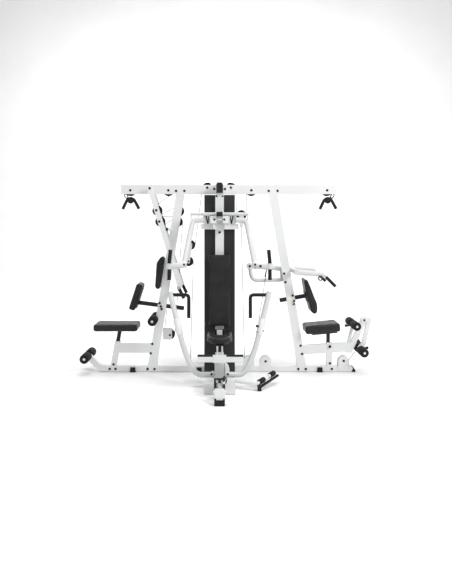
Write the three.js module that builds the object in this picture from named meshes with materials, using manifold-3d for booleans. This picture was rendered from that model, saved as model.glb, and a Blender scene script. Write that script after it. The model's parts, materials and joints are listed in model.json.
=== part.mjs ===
// Multi station home gym: three weight stacks behind a tall shroud, a press station
// in front, a lat and row station on the left and a dip and leg station on the right.
// Millimetres, +X to the right, +Y away from the front, +Z up.
import * as THREE from "three";
import { mergeVertices } from "three/addons/utils/BufferGeometryUtils.js";
import Module from "manifold-3d";

const wasm = await Module();
wasm.setup();

// ---------------------------------------------------------------- driving dimensions
const GAP = 0.3; // between pieces that bear on each other
const CENTRE = { x: 81.075, y: -316 }; // middle of the footprint, which becomes the origin
const TUBE = { half: 25, wall: 3 }; // 50 mm frame tube
const BEAM = { left: -1002, right: 1187, bottom: 1809, top: 1903 };
const BASE = { bottom: 4, top: 60, left: -1170, right: 1379, front: -1220, rear: 590 };
const WING = { rear: -660, top: 98 }; // blocks beside the front tube that carry the brace
const UPRIGHT = { width: 88, topLeft: -400, footLeft: -685, topRight: 548, footRight: 837 };
const MAST = { half: 43, front: -112, back: -62 };
const SHROUD = { half: 155, front: -57, rear: 600, bottom: 64, top: 1800, sheet: 3 };
const STACK = { half: 122, depth: 100, plate: 25, plates: 19, ys: [20, 230, 440], bottom: 68.3 };
const ROD = { x: 85, radius: 11 };
const PULLEY = { radius: 52, width: 24, bore: 7 };
const ROLLER = { bore: 11, near: 34, far: 200 };
const PRESS_AXIS = { y: -190, z: 1552 };
const LOW_AXIS = { y: -600, z: 115 };
const ROW_AXIS = { x: -700, z: 1863 };
const DIP_AXIS = { x: 652, z: 998 };
const LEG_AXIS = { x: 1470, z: 528 };
const LOW_Y = 28; // the low left pulley stands behind the chest pad's post

const COLOURS = {
  white: { color: 0xe9eaea, roughness: 0.35, metalness: 0.1 },
  black: { color: 0x1b1b1d, roughness: 0.5, metalness: 0.2 },
  rubber: { color: 0x151515, roughness: 0.85, metalness: 0 },
  vinyl: { color: 0x19191b, roughness: 0.6, metalness: 0 },
  foam: { color: 0x161617, roughness: 0.9, metalness: 0 },
  steel: { color: 0xb9bcbf, roughness: 0.3, metalness: 0.9 },
  iron: { color: 0x2a2a2c, roughness: 0.6, metalness: 0.6 },
  shroud: { color: 0x3a3a3c, roughness: 0.55, metalness: 0.2 },
};

const gym = new THREE.Group();
gym.position.set(-CENTRE.x, -CENTRE.y, 0);

// ---------------------------------------------------------------- shape helpers
function solid(geometry) {
  const bare = geometry.clone();
  bare.deleteAttribute("normal");
  bare.deleteAttribute("uv");
  const merged = mergeVertices(bare.index ? bare.toNonIndexed() : bare, 1e-3);
  const mesh = new wasm.Mesh({
    numProp: 3,
    vertProperties: new Float32Array(merged.attributes.position.array),
    triVerts: new Uint32Array(merged.index.array),
  });
  return new wasm.Manifold(mesh);
}

function geometryOf(body) {
  const mesh = body.getMesh();
  const geometry = new THREE.BufferGeometry();
  const positions = new Float32Array(mesh.vertProperties);
  geometry.setAttribute("position", new THREE.BufferAttribute(positions, 3));
  geometry.setIndex(new THREE.BufferAttribute(new Uint32Array(mesh.triVerts), 1));
  geometry.computeVertexNormals();
  return geometry;
}

const join = (...geometries) => geometryOf(geometries.map(solid).reduce((a, b) => a.add(b)));
const cut = (base, ...tools) =>
  geometryOf(tools.map(solid).reduce((a, b) => a.subtract(b), solid(base)));

function add(name, colour, geometry) {
  const mesh = new THREE.Mesh(geometry, new THREE.MeshStandardMaterial(COLOURS[colour]));
  mesh.name = name;
  gym.add(mesh);
}

function box(x0, x1, y0, y1, z0, z1) {
  const geometry = new THREE.BoxGeometry(x1 - x0, y1 - y0, z1 - z0);
  return geometry.translate((x0 + x1) / 2, (y0 + y1) / 2, (z0 + z1) / 2);
}

function outline(points) {
  return new THREE.Shape(points.map(([x, y]) => new THREE.Vector2(x, y)));
}

// Flat outlines given as [x, z] and swept along Y, as [y, z] along X, and as [x, y] along Z.
function plateY(points, y0, y1) {
  const geometry = new THREE.ExtrudeGeometry(outline(points), {
    depth: y1 - y0,
    bevelEnabled: false,
  });
  return geometry.rotateX(Math.PI / 2).translate(0, y1, 0);
}

function plateX(points, x0, x1) {
  const geometry = new THREE.ExtrudeGeometry(outline(points), {
    depth: x1 - x0,
    bevelEnabled: false,
  });
  return geometry.rotateX(Math.PI / 2).rotateZ(Math.PI / 2).translate(x0, 0, 0);
}

function plateZ(points, z0, z1) {
  const geometry = new THREE.ExtrudeGeometry(outline(points), {
    depth: z1 - z0,
    bevelEnabled: false,
  });
  return geometry.translate(0, 0, z0);
}

function rod(from, to, radius, sides = 12) {
  const start = new THREE.Vector3(...from);
  const run = new THREE.Vector3(...to).sub(start);
  const geometry = new THREE.CylinderGeometry(radius, radius, run.length(), sides);
  const turn = new THREE.Quaternion().setFromUnitVectors(
    new THREE.Vector3(0, 1, 0),
    run.clone().normalize(),
  );
  geometry.applyQuaternion(turn);
  return geometry.translate(...start.addScaledVector(run, 0.5).toArray());
}

// A path through given points, whose corners are rounded off with arcs.
class Route extends THREE.Curve {
  constructor(points, bend, stepsPerBend) {
    super();
    const corner = points.map((p) => new THREE.Vector3(...p));
    this.stations = [corner[0]];
    for (let i = 1; i < corner.length - 1; i++) {
      if (bend === 0) {
        this.stations.push(corner[i]);
        continue;
      }
      const back = corner[i - 1].clone().sub(corner[i]);
      const ahead = corner[i + 1].clone().sub(corner[i]);
      const reach = Math.min(bend, back.length() * 0.45, ahead.length() * 0.45);
      const a = corner[i].clone().addScaledVector(back.normalize(), reach);
      const b = corner[i].clone().addScaledVector(ahead.normalize(), reach);
      const arc = new THREE.QuadraticBezierCurve3(a, corner[i], b);
      this.stations.push(...arc.getPoints(stepsPerBend));
    }
    this.stations.push(corner[corner.length - 1]);
  }

  getPointAt(u) {
    const index = Math.round(u * (this.stations.length - 1));
    return this.stations[index].clone();
  }

  getTangentAt(u) {
    const last = this.stations.length - 1;
    const index = Math.round(u * last);
    const before = this.stations[Math.max(index - 1, 0)];
    const after = this.stations[Math.min(index + 1, last)];
    return after.clone().sub(before).normalize();
  }
}

function sweep(section, points, bend, stepsPerBend = 4) {
  const route = new Route(points, bend, stepsPerBend);
  return new THREE.ExtrudeGeometry(section, {
    steps: route.stations.length - 1,
    extrudePath: route,
  });
}

function circle(radius, sides) {
  const turn = (2 * Math.PI) / sides;
  const points = [];
  for (let i = 0; i < sides; i++) {
    points.push([radius * Math.cos(i * turn), radius * Math.sin(i * turn)]);
  }
  return outline(points);
}

const pipe = (points, radius, bend = 60, sides = 10, steps = 4) =>
  sweep(circle(radius, sides), points, bend, steps);

// A turned profile of [radius, along] pairs about an axis through a point.
function turned(profile, axis, centre, sides = 16) {
  const closed = [...profile, profile[0]].map(([r, h]) => new THREE.Vector2(r, h));
  const geometry = new THREE.LatheGeometry(closed, sides);
  if (axis === "x") geometry.rotateZ(-Math.PI / 2);
  if (axis === "z") geometry.rotateX(Math.PI / 2);
  return geometry.translate(...centre);
}

function pulley(centre, axis, radius = PULLEY.radius) {
  const half = PULLEY.width / 2;
  const profile = [
    [PULLEY.bore, -half],
    [radius, -half],
    [radius, -half + 4],
    [radius - 9, 0],
    [radius, half - 4],
    [radius, half],
    [PULLEY.bore, half],
  ];
  return turned(profile, axis, centre);
}

const upX = (side, z) => {
  const slope = (BEAM.bottom - z) / (BEAM.bottom - 57);
  return side < 0
    ? UPRIGHT.topLeft + slope * (UPRIGHT.footLeft - UPRIGHT.topLeft)
    : UPRIGHT.topRight + slope * (UPRIGHT.footRight - UPRIGHT.topRight);
};

// ---------------------------------------------------------------- fixed frame
const beamPulleys = [
  [-908, 1846],
  [-521, 1846],
  [-125, 1875],
  [115, 1875],
  [323, 1846],
  [1094, 1846],
];
const slotHalf = PULLEY.radius + 4;
const slotDepth = PULLEY.width / 2 + 3;
let beam = cut(
  box(BEAM.left, BEAM.right, -TUBE.half, TUBE.half, BEAM.bottom, BEAM.top),
  box(BEAM.left + 4, BEAM.right - 4, -22, 22, BEAM.bottom + TUBE.wall, BEAM.top - TUBE.wall),
  ...beamPulleys.flatMap(([x, z]) => {
    const slot = (z0) => box(x - slotHalf - 6, x + slotHalf, -slotDepth, slotDepth, z0, z0 + 12);
    return z > 1860 ? [slot(BEAM.top - 6), slot(BEAM.bottom - 6)] : [slot(BEAM.bottom - 6)];
  }),
);
beam = join(beam, ...beamPulleys.map(([x, z]) => rod([x, -23, z], [x, 23, z], 5, 8)));
beam = cut(beam, rod([ROW_AXIS.x, -30, ROW_AXIS.z], [ROW_AXIS.x, 30, ROW_AXIS.z], 11, 12));
add("crossbeam", "white", beam);

// Uprights: slanted hollow tubes with flange plates over the base arm.
const chestPost = { from: [-806, 702], to: [-362, 646] };
const backPost = { from: [876, 774], to: [613, 727] };
function slantedBar({ from, to }, half, y) {
  const run = new THREE.Vector2(to[0] - from[0], to[1] - from[1]).normalize();
  const side = [-run.y * half, run.x * half];
  return plateY(
    [
      [from[0] + side[0], from[1] + side[1]],
      [from[0] - side[0], from[1] - side[1]],
      [to[0] - side[0], to[1] - side[1]],
      [to[0] + side[0], to[1] + side[1]],
    ],
    -y,
    y,
  );
}

function upright(side, post, slots) {
  const half = UPRIGHT.width / 2;
  const foot = BASE.top + GAP;
  const top = BEAM.bottom - GAP;
  const shape = (inset) => [
    [upX(side, foot) - half + inset, foot],
    [upX(side, foot) + half - inset, foot],
    [upX(side, top) + half - inset, top],
    [upX(side, top) - half + inset, top],
  ];
  const inner = TUBE.half - TUBE.wall;
  const hollow = cut(plateY(shape(0), -TUBE.half, TUBE.half), plateY(shape(3), -inner, inner));
  const cheek = [
    [upX(side, foot) - half - 4, foot],
    [upX(side, foot) + half + 4, foot],
    [upX(side, foot + 60) + half, foot + 60],
    [upX(side, foot + 60) - half, foot + 60],
  ];
  const flange = (y0, y1, y2, y3) => [
    box(upX(side, foot) - half - 4, upX(side, foot) + half + 4, y0, y1, 10, foot + 4),
    plateY(cheek, y2, y3),
  ];
  const near = flange(-TUBE.half - 5, -TUBE.half - GAP, -TUBE.half - 5, -TUBE.half + 1);
  const far = flange(TUBE.half + GAP, TUBE.half + 5, TUBE.half - 1, TUBE.half + 5);
  const body = join(hollow, ...near, ...far);
  return cut(body, slantedBar(post, 23, 20.6), ...slots);
}

const rowPulleys = [
  [-412, 1635],
  [-427, 1528],
];
let uprightLeft = upright(-1, { from: [-900, 713.9], to: [-250, 631.9] }, [
  box(-540, -330, -slotDepth, slotDepth, 1465, 1695),
]);
const rowAxles = rowPulleys.map(([x, z]) => rod([x, -23, z], [x, 23, z], 5, 8));
const thigh = [-668, 0, 538];
uprightLeft = join(uprightLeft, ...rowAxles, box(-688, -640, -20, 20, 512, 564));
uprightLeft = cut(
  uprightLeft,
  rod([thigh[0], -30, thigh[2]], [thigh[0], 30, thigh[2]], ROLLER.bore, 12),
  box(-630, -600, -21, 21, 500, 580),
);
add("upright_left", "white", uprightLeft);
add("upright_right", "white", upright(1, { from: [960, 789], to: [500, 706.8] }, []));

add(
  "mast",
  "white",
  join(
    cut(
      box(-MAST.half, MAST.half, MAST.front, MAST.back, BASE.top + GAP, BEAM.bottom - GAP),
      box(-MAST.half + 3, MAST.half - 3, MAST.front + 3, MAST.back - 3, 50, 1820),
    ),
    box(-30, 30, -117.5, MAST.front + 1, 560, 1150),
  ),
);

const highPulley = [0, -250, 1872];
add(
  "top_boom",
  "white",
  join(
    cut(
      box(-38, 38, -300, -TUBE.half - GAP, BEAM.bottom, BEAM.top),
      box(-34, 34, -301, -40, BEAM.bottom + 4, BEAM.top - 4),
      box(-34, 34, -301, -180, BEAM.bottom - 1, BEAM.top + 1),
    ),
    rod([-36, highPulley[1], highPulley[2]], [36, highPulley[1], highPulley[2]], 5, 8),
  ),
);
add(
  "rear_top_beam",
  "white",
  box(-TUBE.half, TUBE.half, TUBE.half + GAP, 560, BEAM.bottom, BEAM.bottom + 60),
);

const rectangle = (w, h) => outline([[-w, -h], [w, -h], [w, h], [-w, h]]);
const baseMid = (BASE.bottom + BASE.top) / 2;
const baseHalf = (BASE.top - BASE.bottom) / 2;
const rollerFoot = [-1341, 0, 165];
const baseLeft = join(
  sweep(
    rectangle(baseHalf, TUBE.half),
    [
      [-28 - GAP, 0, baseMid],
      [-1214, 0, baseMid],
      [-1332, 0, 155],
    ],
    110,
    6,
  ),
  rod([rollerFoot[0], -TUBE.half, 165], [rollerFoot[0], TUBE.half, 165], 26, 12),
);
const rollerHole = rod([rollerFoot[0], -40, 165], [rollerFoot[0], 40, 165], ROLLER.bore, 12);
add("base_arm_left", "white", cut(baseLeft, rollerHole));

// Right base arm with three round-topped pulley housings, each a pair of side plates.
const housings = [296, 468, 1262];
function roundTop(x, half, top, y0, y1) {
  const points = [[x - half, BASE.bottom + 20], [x + half, BASE.bottom + 20]];
  for (let i = 0; i <= 10; i++) {
    const angle = (Math.PI * i) / 10;
    points.push([x + half * Math.cos(angle), top - half + half * Math.sin(angle)]);
  }
  return plateY(points, y0, y1);
}
const rightArm = [
  [28 + GAP, BASE.bottom],
  [BASE.right, BASE.bottom],
  [BASE.right, BASE.bottom + 12],
  [BASE.right - 31, BASE.top],
  [28 + GAP, BASE.top],
];
add(
  "base_arm_right",
  "white",
  join(
    plateY(rightArm, -TUBE.half, TUBE.half),
    ...housings.flatMap((x) => [
      roundTop(x, 56, 164, -TUBE.half - 4, -TUBE.half + 2),
      roundTop(x, 56, 164, TUBE.half - 2, TUBE.half + 4),
    ]),
  ),
);

// Centre base: front tube with side wings and an end box, rear tube with a cross foot.
add(
  "base_centre",
  "white",
  join(
    box(-28, 28, BASE.front, BASE.rear, BASE.bottom, BASE.top),
    box(-135, -27, -875, WING.rear, BASE.bottom, WING.top),
    box(27, 139, -875, WING.rear, BASE.bottom, WING.top),
    box(-42, 42, BASE.front + 6, -1120, BASE.top - 2, 118),
    box(-54, 54, BASE.front + 20, -1150, 88, 112),
    box(-140, 140, BASE.rear - 50, BASE.rear, 0, BASE.top),
  ),
);

function saddle(x, y) {
  const block = plateY([[x - 29, 0], [x + 29, 0], [x + 23, 48], [x - 23, 48]], y - 40, y + 40);
  return cut(block, box(x - 40, x + 40, -TUBE.half - GAP, TUBE.half + GAP, 4 - GAP, 70));
}
add("foot_left", "rubber", saddle(-881, 0));
add("foot_right", "rubber", saddle(1019, 0));
add(
  "foot_front",
  "rubber",
  cut(
    box(-44, 44, BASE.front - 12, BASE.front + 70, 0, 47),
    box(-28 - GAP, 28 + GAP, BASE.front - GAP, BASE.front + 80, 4 - GAP, 70),
  ),
);
const S = SHROUD;
add(
  "stack_shroud",
  "shroud",
  cut(
    box(-S.half, S.half, S.front, S.rear, 10, S.top),
    box(-S.half + S.sheet, S.half - S.sheet, S.front + S.sheet, S.rear + 1, 9, S.top + 1),
    box(-S.half - 1, S.half + 1, S.front + S.sheet + 1, S.rear + 1, 9, S.bottom),
    box(-28.6, 28.6, S.front - 1, S.front + S.sheet + 2, 9, S.bottom),
  ),
);

// Guide rods of the three stacks between a floor plate and a head plate.
const guideRear = STACK.ys[2] + 70;
add(
  "guide_frame",
  "steel",
  join(
    box(-130, 130, -45, guideRear, BASE.top + GAP, BASE.top + 8),
    box(-130, 130, -45, guideRear, 1790, 1800),
    ...STACK.ys.flatMap((y) =>
      [-ROD.x, ROD.x].map((x) => rod([x, y, 62], [x, y, 1795], ROD.radius, 8)),
    ),
  ),
);

// Each stack is a pile of plates with a groove between neighbours.
const stackTop = STACK.bottom + STACK.plate * STACK.plates;
function plateStack(y) {
  const right = [];
  for (let i = 0; i < STACK.plates; i++) {
    const z = STACK.bottom + i * STACK.plate;
    right.push([STACK.half, z], [STACK.half, z + STACK.plate - 2]);
    if (i < STACK.plates - 1) {
      right.push([STACK.half - 3, z + STACK.plate - 2], [STACK.half - 3, z + STACK.plate]);
    }
  }
  const left = right.map(([x, z]) => [-x, z]).reverse();
  const holes = [-ROD.x, ROD.x].map((x) => rod([x, y, 40], [x, y, 800], ROD.radius + 2, 8));
  return cut(plateY([...right, ...left], y - STACK.depth / 2, y + STACK.depth / 2), ...holes);
}
function carriage(y) {
  const z = stackTop + GAP - 2;
  const head = box(-STACK.half, STACK.half, y - STACK.depth / 2, y + STACK.depth / 2, z, z + 26);
  const holes = [-ROD.x, ROD.x].map((x) => rod([x, y, z - 9], [x, y, z + 40], ROD.radius + 2, 8));
  return cut(join(head, rod([0, y, z + 20], [0, y, z + 80], 11, 10)), ...holes);
}
["front", "middle", "rear"].forEach((place, i) => {
  add(`stack_${place}`, "iron", plateStack(STACK.ys[i]));
  add(`carriage_${place}`, "iron", carriage(STACK.ys[i]));
});

// Bracket across the mast that carries the press bearings.
const BEARING = { radius: 31, bottom: 1452, back: -150 };
function bearing(x0, x1) {
  const { y, z } = PRESS_AXIS;
  const points = [[BEARING.back, BEARING.bottom], [BEARING.back, z - 22]];
  for (let i = 0; i <= 8; i++) {
    const angle = -0.35 + ((Math.PI + 0.35) * i) / 8;
    points.push([y + BEARING.radius * Math.cos(angle), z + BEARING.radius * Math.sin(angle)]);
  }
  points.push([y - BEARING.radius, BEARING.bottom]);
  return cut(plateX(points, x0, x1), rod([x0 - 5, y, z], [x1 + 5, y, z], 18.6, 16));
}
add(
  "press_bracket",
  "white",
  join(
    box(-185, 190, -150, MAST.front - GAP, 1452, 1505),
    bearing(-62, -50),
    bearing(50, 62),
  ),
);

// Seat frames at both ends, each a level tube off the upright and a leg.
const levelLeft = [
  [upX(-1, 290) - 44 - GAP - 0.2, 290],
  [-1020, 290],
  [-1020, 196],
  [upX(-1, 196) - 44 - GAP - 0.2, 196],
];
const leftLeg = [[-1064, 312], [-1008, 312], [-1052, BASE.top + GAP], [-1108, BASE.top + GAP]];
const legAxis = (z) => [-1036 + ((z - 312) * 44) / (312 - BASE.top), z];
add(
  "seat_frame_left",
  "white",
  cut(
    join(plateY(levelLeft, -24, 24), plateY(leftLeg, -TUBE.half, TUBE.half)),
    slantedBar({ from: legAxis(186), to: legAxis(330) }, 19.5, 19.5),
  ),
);
const levelRight = [
  [upX(1, 179) + 44 + GAP + 0.2, 179],
  [1330, 208],
  [1338, 302],
  [upX(1, 271) + 44 + GAP + 0.2, 271],
];
const legBar = [[1286, 196], [1342, 196], [1497, 520], [1490, 556], [1444, 556], [1441, 528]];
const legRound = rod([LEG_AXIS.x, -TUBE.half, 528], [LEG_AXIS.x, TUBE.half, 528], 29, 16);
add(
  "seat_frame_right",
  "white",
  cut(
    join(
      plateY(levelRight, -24, 24),
      box(1090, 1146, -TUBE.half, TUBE.half, BASE.top + GAP, 300),
      cut(plateY(legBar, -TUBE.half, TUBE.half), box(1380, 1560, -30, 30, 529, 600)),
      legRound,
      rod([1312, 0, 290], [1361, 0, 478], 18, 10),
      rod([1361, -28, 488], [1361, 28, 488], 17, 12),
    ),
    box(1089, 1125, -18, 18, 190, 320),
    rod([LEG_AXIS.x, -40, 528], [LEG_AXIS.x, 40, 528], 9, 10),
    rod([1361, -40, 488], [1361, 40, 488], 11, 12),
  ),
);

// Housings and brackets of the low pulleys.
add(
  "low_housing_left",
  "steel",
  join(
    box(upX(-1, 436) + 44 + 1, -486, LOW_Y - 21, LOW_Y - 17, 325, 436),
    box(upX(-1, 436) + 44 + 1, -486, LOW_Y + 17, LOW_Y + 21, 325, 436),
    box(upX(-1, 436) + 44 + 1, upX(-1, 436) + 44 + 7, LOW_Y - 21, LOW_Y + 21, 325, 436),
    rod([-513, LOW_Y - 19, 377], [-513, LOW_Y + 19, 377], 5, 8),
  ),
);
add("pulley_low_left", "black", pulley([-513, LOW_Y, 377], "y", 56));

const frontHousing = [
  [-650, BASE.top + GAP],
  [-560, BASE.top + GAP],
  [-560, 200],
  [-585, 226],
  [-625, 226],
  [-650, 200],
];
add(
  "low_housing_front",
  "steel",
  cut(
    plateX(frontHousing, -46, 46),
    rod([-50, LOW_AXIS.y, LOW_AXIS.z], [50, LOW_AXIS.y, LOW_AXIS.z], 15, 12),
  ),
);
add(
  "low_bracket_front",
  "black",
  join(
    box(-48, -29, -1050, -930, BASE.top + GAP, 150),
    box(29, 48, -1050, -930, BASE.top + GAP, 150),
    box(-48, 48, -1050, -930, BASE.top + GAP, 68),
    rod([-40, -990, 125], [40, -990, 125], 5, 8),
  ),
);

// Foot rest bar of the press station, on a bracket that stands on the low pulley housing.
const footBracket = [
  [-790, 268],
  [-640, 262],
  [-625, 226 + GAP],
  [-612, 226 + GAP],
  [-612, 284],
  [-790, 284],
];
add(
  "foot_rest",
  "white",
  join(
    box(-197, 213, -815, -775, 272, 327),
    box(-60, 60, -820, -770, 268, 330),
    plateX(footBracket, -44, 44),
  ),
);

// Front right foot brace, low to the floor.
const BRACE = { root: [60, -618, 82], elbow: [336, -745, 62] };
const braceAxle = { from: [342, -745, 66], to: [517, -445, 92] };
// Two foam rollers with a sleeve between them, on the brace's slanted rod.
function braceRollers(from, to) {
  const run = new THREE.Vector3(...to).sub(new THREE.Vector3(...from));
  const length = run.length();
  const foam = [
    [22, 0.07],
    [25, 0.09],
    [25, 0.34],
    [22, 0.36],
    [19, 0.36],
    [19, 0.7],
    [22, 0.7],
    [25, 0.72],
    [25, 0.97],
    [22, 0.99],
  ].map(([r, t]) => [r, t * length]);
  const rim = [[14.6, foam[0][1]], ...foam, [14.6, foam[foam.length - 1][1]], [14.6, foam[0][1]]];
  const points = rim.map(([r, h]) => new THREE.Vector2(r, h));
  const turn = new THREE.Quaternion().setFromUnitVectors(
    new THREE.Vector3(0, 1, 0),
    run.normalize(),
  );
  return new THREE.LatheGeometry(points, 14).applyQuaternion(turn).translate(...from);
}
add(
  "foot_brace",
  "white",
  join(
    cut(
      pipe([BRACE.root, BRACE.elbow], 24, 10, 12),
      box(-60, 139 + GAP, -900, -540, 0, 130),
    ),
    rod(braceAxle.from, braceAxle.to, 14, 10),
    box(322, 372, -760, -728, 0, 44),
    rod([368, -742, 34], [553, -446, 68], 12.5, 8),
  ),
);
add("rollers_brace", "foam", braceRollers(braceAxle.from, braceAxle.to));

// ---------------------------------------------------------------- pads and their posts
const roundedRect = (x0, x1, z0, z1, r) => {
  const corners = [[x1 - r, z0 + r, -90], [x1 - r, z1 - r, 0], [x0 + r, z1 - r, 90], [x0 + r, z0 + r, 180]];
  return corners.flatMap(([cx, cz, start]) =>
    [0, 45, 90].map((step) => {
      const angle = ((start + step) * Math.PI) / 180;
      return [cx + r * Math.cos(angle), cz + r * Math.sin(angle)];
    }),
  );
};
const tilt = (geometry, [x, z], degrees) =>
  geometry.translate(-x, 0, -z).rotateY((degrees * Math.PI) / 180).translate(x, 0, z);

add(
  "front_back_pad",
  "vinyl",
  plateX(
    [[-175, 520], [-165, 490], [-140, 478], [-118, 480], [-118, 1208], [-165, 1210], [-178, 1195]],
    -116,
    116,
  ),
);
const seatHalf = [
  [48, -400],
  [48, -160],
  [130, -160],
  [130, -450],
  [108, -540],
  [66, -600],
  [20, -622],
];
const seatOutline = [...seatHalf.map(([x, y]) => [-x, y]).reverse(), ...seatHalf];
add("front_seat", "vinyl", plateZ(seatOutline, 386, 446));
add(
  "front_seat_frame",
  "black",
  join(
    box(-45, 45, -214, -206, 240, 466),
    box(-25, 25, -208, MAST.front - 6, 300, 440),
    box(-25, 25, -560, -160, 330, 385.5),
    box(-30, 30, -130, MAST.front - GAP, 280, 440),
    rod([-20, -600, 226 + GAP], [-20, -600, 380], 7, 8),
    rod([24, -600, 226 + GAP], [24, -600, 380], 7, 8),
    box(-40, 40, -610, -540, 376, 385.5),
  ),
);

add("seat_left", "vinyl", plateY(roundedRect(-1270, -820, 436, 492, 14), -150, 150));
add(
  "seat_post_left",
  "black",
  join(
    slantedBar({ from: legAxis(192), to: legAxis(428) }, 18, 18),
    box(-1130, -920, -70, 70, 423, 435.7),
  ),
);
const SEAT_RIGHT = { middle: [1034, 454.5], lean: -5.3 };
const leanSeat = (geometry) => tilt(geometry, SEAT_RIGHT.middle, SEAT_RIGHT.lean);
const seatRight = plateY(roundedRect(856, 1212, 419.5, 489.5, 14), -150, 150);
add("seat_right", "vinyl", leanSeat(seatRight));
const seatUnder = leanSeat(box(925, 1180, -100, 100, 397, 419.1));
add("seat_post_right", "black", join(seatUnder, box(1090.5, 1123.5, -16, 16, 196, 412)));

const chestPad = tilt(plateY(roundedRect(-873, -813, 626, 916, 14), -125, 125), [-843, 771], 18);
add("chest_pad", "vinyl", cut(chestPad, slantedBar({ from: [-830, 705], to: [-300, 638.2] }, 25, 25)));
const chestPlate = tilt(box(-811.5, -803, -60, 60, 660, 880), [-843, 771], 18);
add(
  "chest_pad_post",
  "black",
  cut(
    join(slantedBar({ from: [-826, 704.5], to: chestPost.to }, 20, 16), chestPlate),
    tilt(box(-900, -812.6, -126, 126, 600, 940), [-843, 771], 18),
  ),
);

const backPadShape = [
  [872, 800],
  [900, 700],
  [925, 610],
  [950, 591],
  [984, 612],
  [978, 700],
  [930, 830],
  [878, 957],
  [842, 955],
];
add("back_pad_right", "vinyl", plateY(backPadShape, -130, 130));
add(
  "back_pad_post_right",
  "black",
  cut(
    join(
      slantedBar({ from: [893, 777], to: backPost.to }, 20, 18),
      plateY([[857, 816], [868, 820], [898, 718], [887, 714]], -60, 60),
    ),
    plateY(
      [[842 - 0.4, 956], [878, 970], [1000, 830], [1000, 600], [925, 590], [899.6, 700], [871.6, 800]],
      -131,
      131,
    ),
  ),
);

const lumbar = [[-594, 1186], [-554, 1186], [-602, 838], [-624, 838], [-654, 852], [-636, 1112]];
add("lumbar_pad", "vinyl", plateY(lumbar, -92, 92));

// ---------------------------------------------------------------- foam rollers on their axles
function rollerPair(centre, radius) {
  const [x, y, z] = centre;
  const profile = [
    [0, -ROLLER.far - 8],
    [10, -ROLLER.far - 8],
    [10, -ROLLER.far],
    [radius - 5, -ROLLER.far],
    [radius, -ROLLER.far + 8],
    [radius, -ROLLER.near - 8],
    [radius - 5, -ROLLER.near],
    [10, -ROLLER.near],
  ];
  const mirrored = profile.map(([r, h]) => [r, -h]).reverse();
  const points = [...profile, ...mirrored].map(([r, h]) => new THREE.Vector2(r, h));
  return new THREE.LatheGeometry(points, 14).translate(x, y, z);
}
add("rollers_foot_left", "foam", rollerPair(rollerFoot, 46));
add("rollers_thigh_left", "foam", rollerPair(thigh, 46));
add("rollers_knee_right", "foam", rollerPair([1361, 0, 488], 42));
add("rollers_ankle_right", "foam", rollerPair([1435, 0, 226], 44));

// ---------------------------------------------------------------- levers
const sides = [-1, 1];
const grip = (s, radius) =>
  pipe(
    [
      [s * 474, -500, 976],
      [s * 473, -500, 1140],
      [s * 462, -500, 1264],
    ],
    radius,
    40,
    10,
    3,
  );
const pressPath = [
  [262, -190, 1520],
  [284, -232, 1440],
  [334, -452, 1135],
  [350, -482, 1112],
  [462, -500, 1108],
];
const pressYoke = join(
    rod([-270, PRESS_AXIS.y, PRESS_AXIS.z], [270, PRESS_AXIS.y, PRESS_AXIS.z], 18, 14),
    rod([-290, PRESS_AXIS.y, 1604], [290, PRESS_AXIS.y, 1604], 16, 10),
    box(-29, 29, -262, PRESS_AXIS.y + 4, 1580, 1622),
    ...sides.flatMap((s) => [
      plateX([[-220, 1500], [-160, 1500], [-160, 1626], [-220, 1626]], s * 262 - 22, s * 262 + 22),
      pipe(pressPath.map(([x, y, z]) => [s * x, y, z]), 27, 40, 10, 3),
      rod([s * 473, -500, 1080], [s * 473, -500, 1134], 30, 12),
    ]),
);
add("press_yoke", "white", cut(pressYoke, ...sides.map((s) => grip(s, 18.6))));
for (const s of sides) {
  add(s < 0 ? "press_grip_left" : "press_grip_right", "rubber", grip(s, 18));
}

add(
  "low_yoke",
  "white",
  join(
    rod([-60, LOW_AXIS.y, LOW_AXIS.z], [60, LOW_AXIS.y, LOW_AXIS.z], 13, 12),
    ...sides.flatMap((s) => [
      rod([s * 50, LOW_AXIS.y, LOW_AXIS.z], [s * 78, LOW_AXIS.y, LOW_AXIS.z], 30, 14),
      pipe(
        [
          [s * 62, -600, 112],
          [s * 225, -600, 108],
          [s * 330, -575, 330],
          [s * 472, -450, 862],
        ],
        26,
        130,
        10,
        4,
      ),
      pipe([[s * 460, -450, 832], [s * 292, -450, 832], [s * 292, -455, 613]], 15, 32, 8, 4),
    ]),
  ),
);

// Row lever: two long arms astride the left upright, hung from the crossbeam.
const rowEnd = [-400, 880];
const armReach = { near: 98, far: 126, stub: 268 };
const leverPulleys = [
  [-634, 1642],
  [-604, 1530],
];
function rowArm(s) {
  const y0 = s < 0 ? -armReach.far : armReach.near;
  const y1 = s < 0 ? -armReach.near : armReach.far;
  const arm = plateY(
    [
      [ROW_AXIS.x - 26, ROW_AXIS.z + 6],
      [ROW_AXIS.x, ROW_AXIS.z + 28],
      [ROW_AXIS.x + 26, ROW_AXIS.z + 8],
      [rowEnd[0] + 32, rowEnd[1] + 14],
      [rowEnd[0] + 10, rowEnd[1] - 20],
      [rowEnd[0] - 22, rowEnd[1] - 4],
    ].reverse(),
    y0,
    y1,
  );
  const y = s * armReach.stub;
  return [
    arm,
    rod([rowEnd[0], s * 112, rowEnd[1]], [rowEnd[0], y, rowEnd[1]], 17, 12),
    rod([rowEnd[0], y - s * 18, rowEnd[1]], [-350, y - s * 18, 776], 15, 10),
  ];
}
const across = ([x, z], radius) =>
  rod([x, -armReach.near - 5, z], [x, armReach.near + 5, z], radius, 10);
add(
  "row_lever",
  "white",
  join(
    ...sides.flatMap(rowArm),
    across([ROW_AXIS.x, ROW_AXIS.z], 9),
    ...leverPulleys.map((p) => across(p, 6)),
  ),
);

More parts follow.
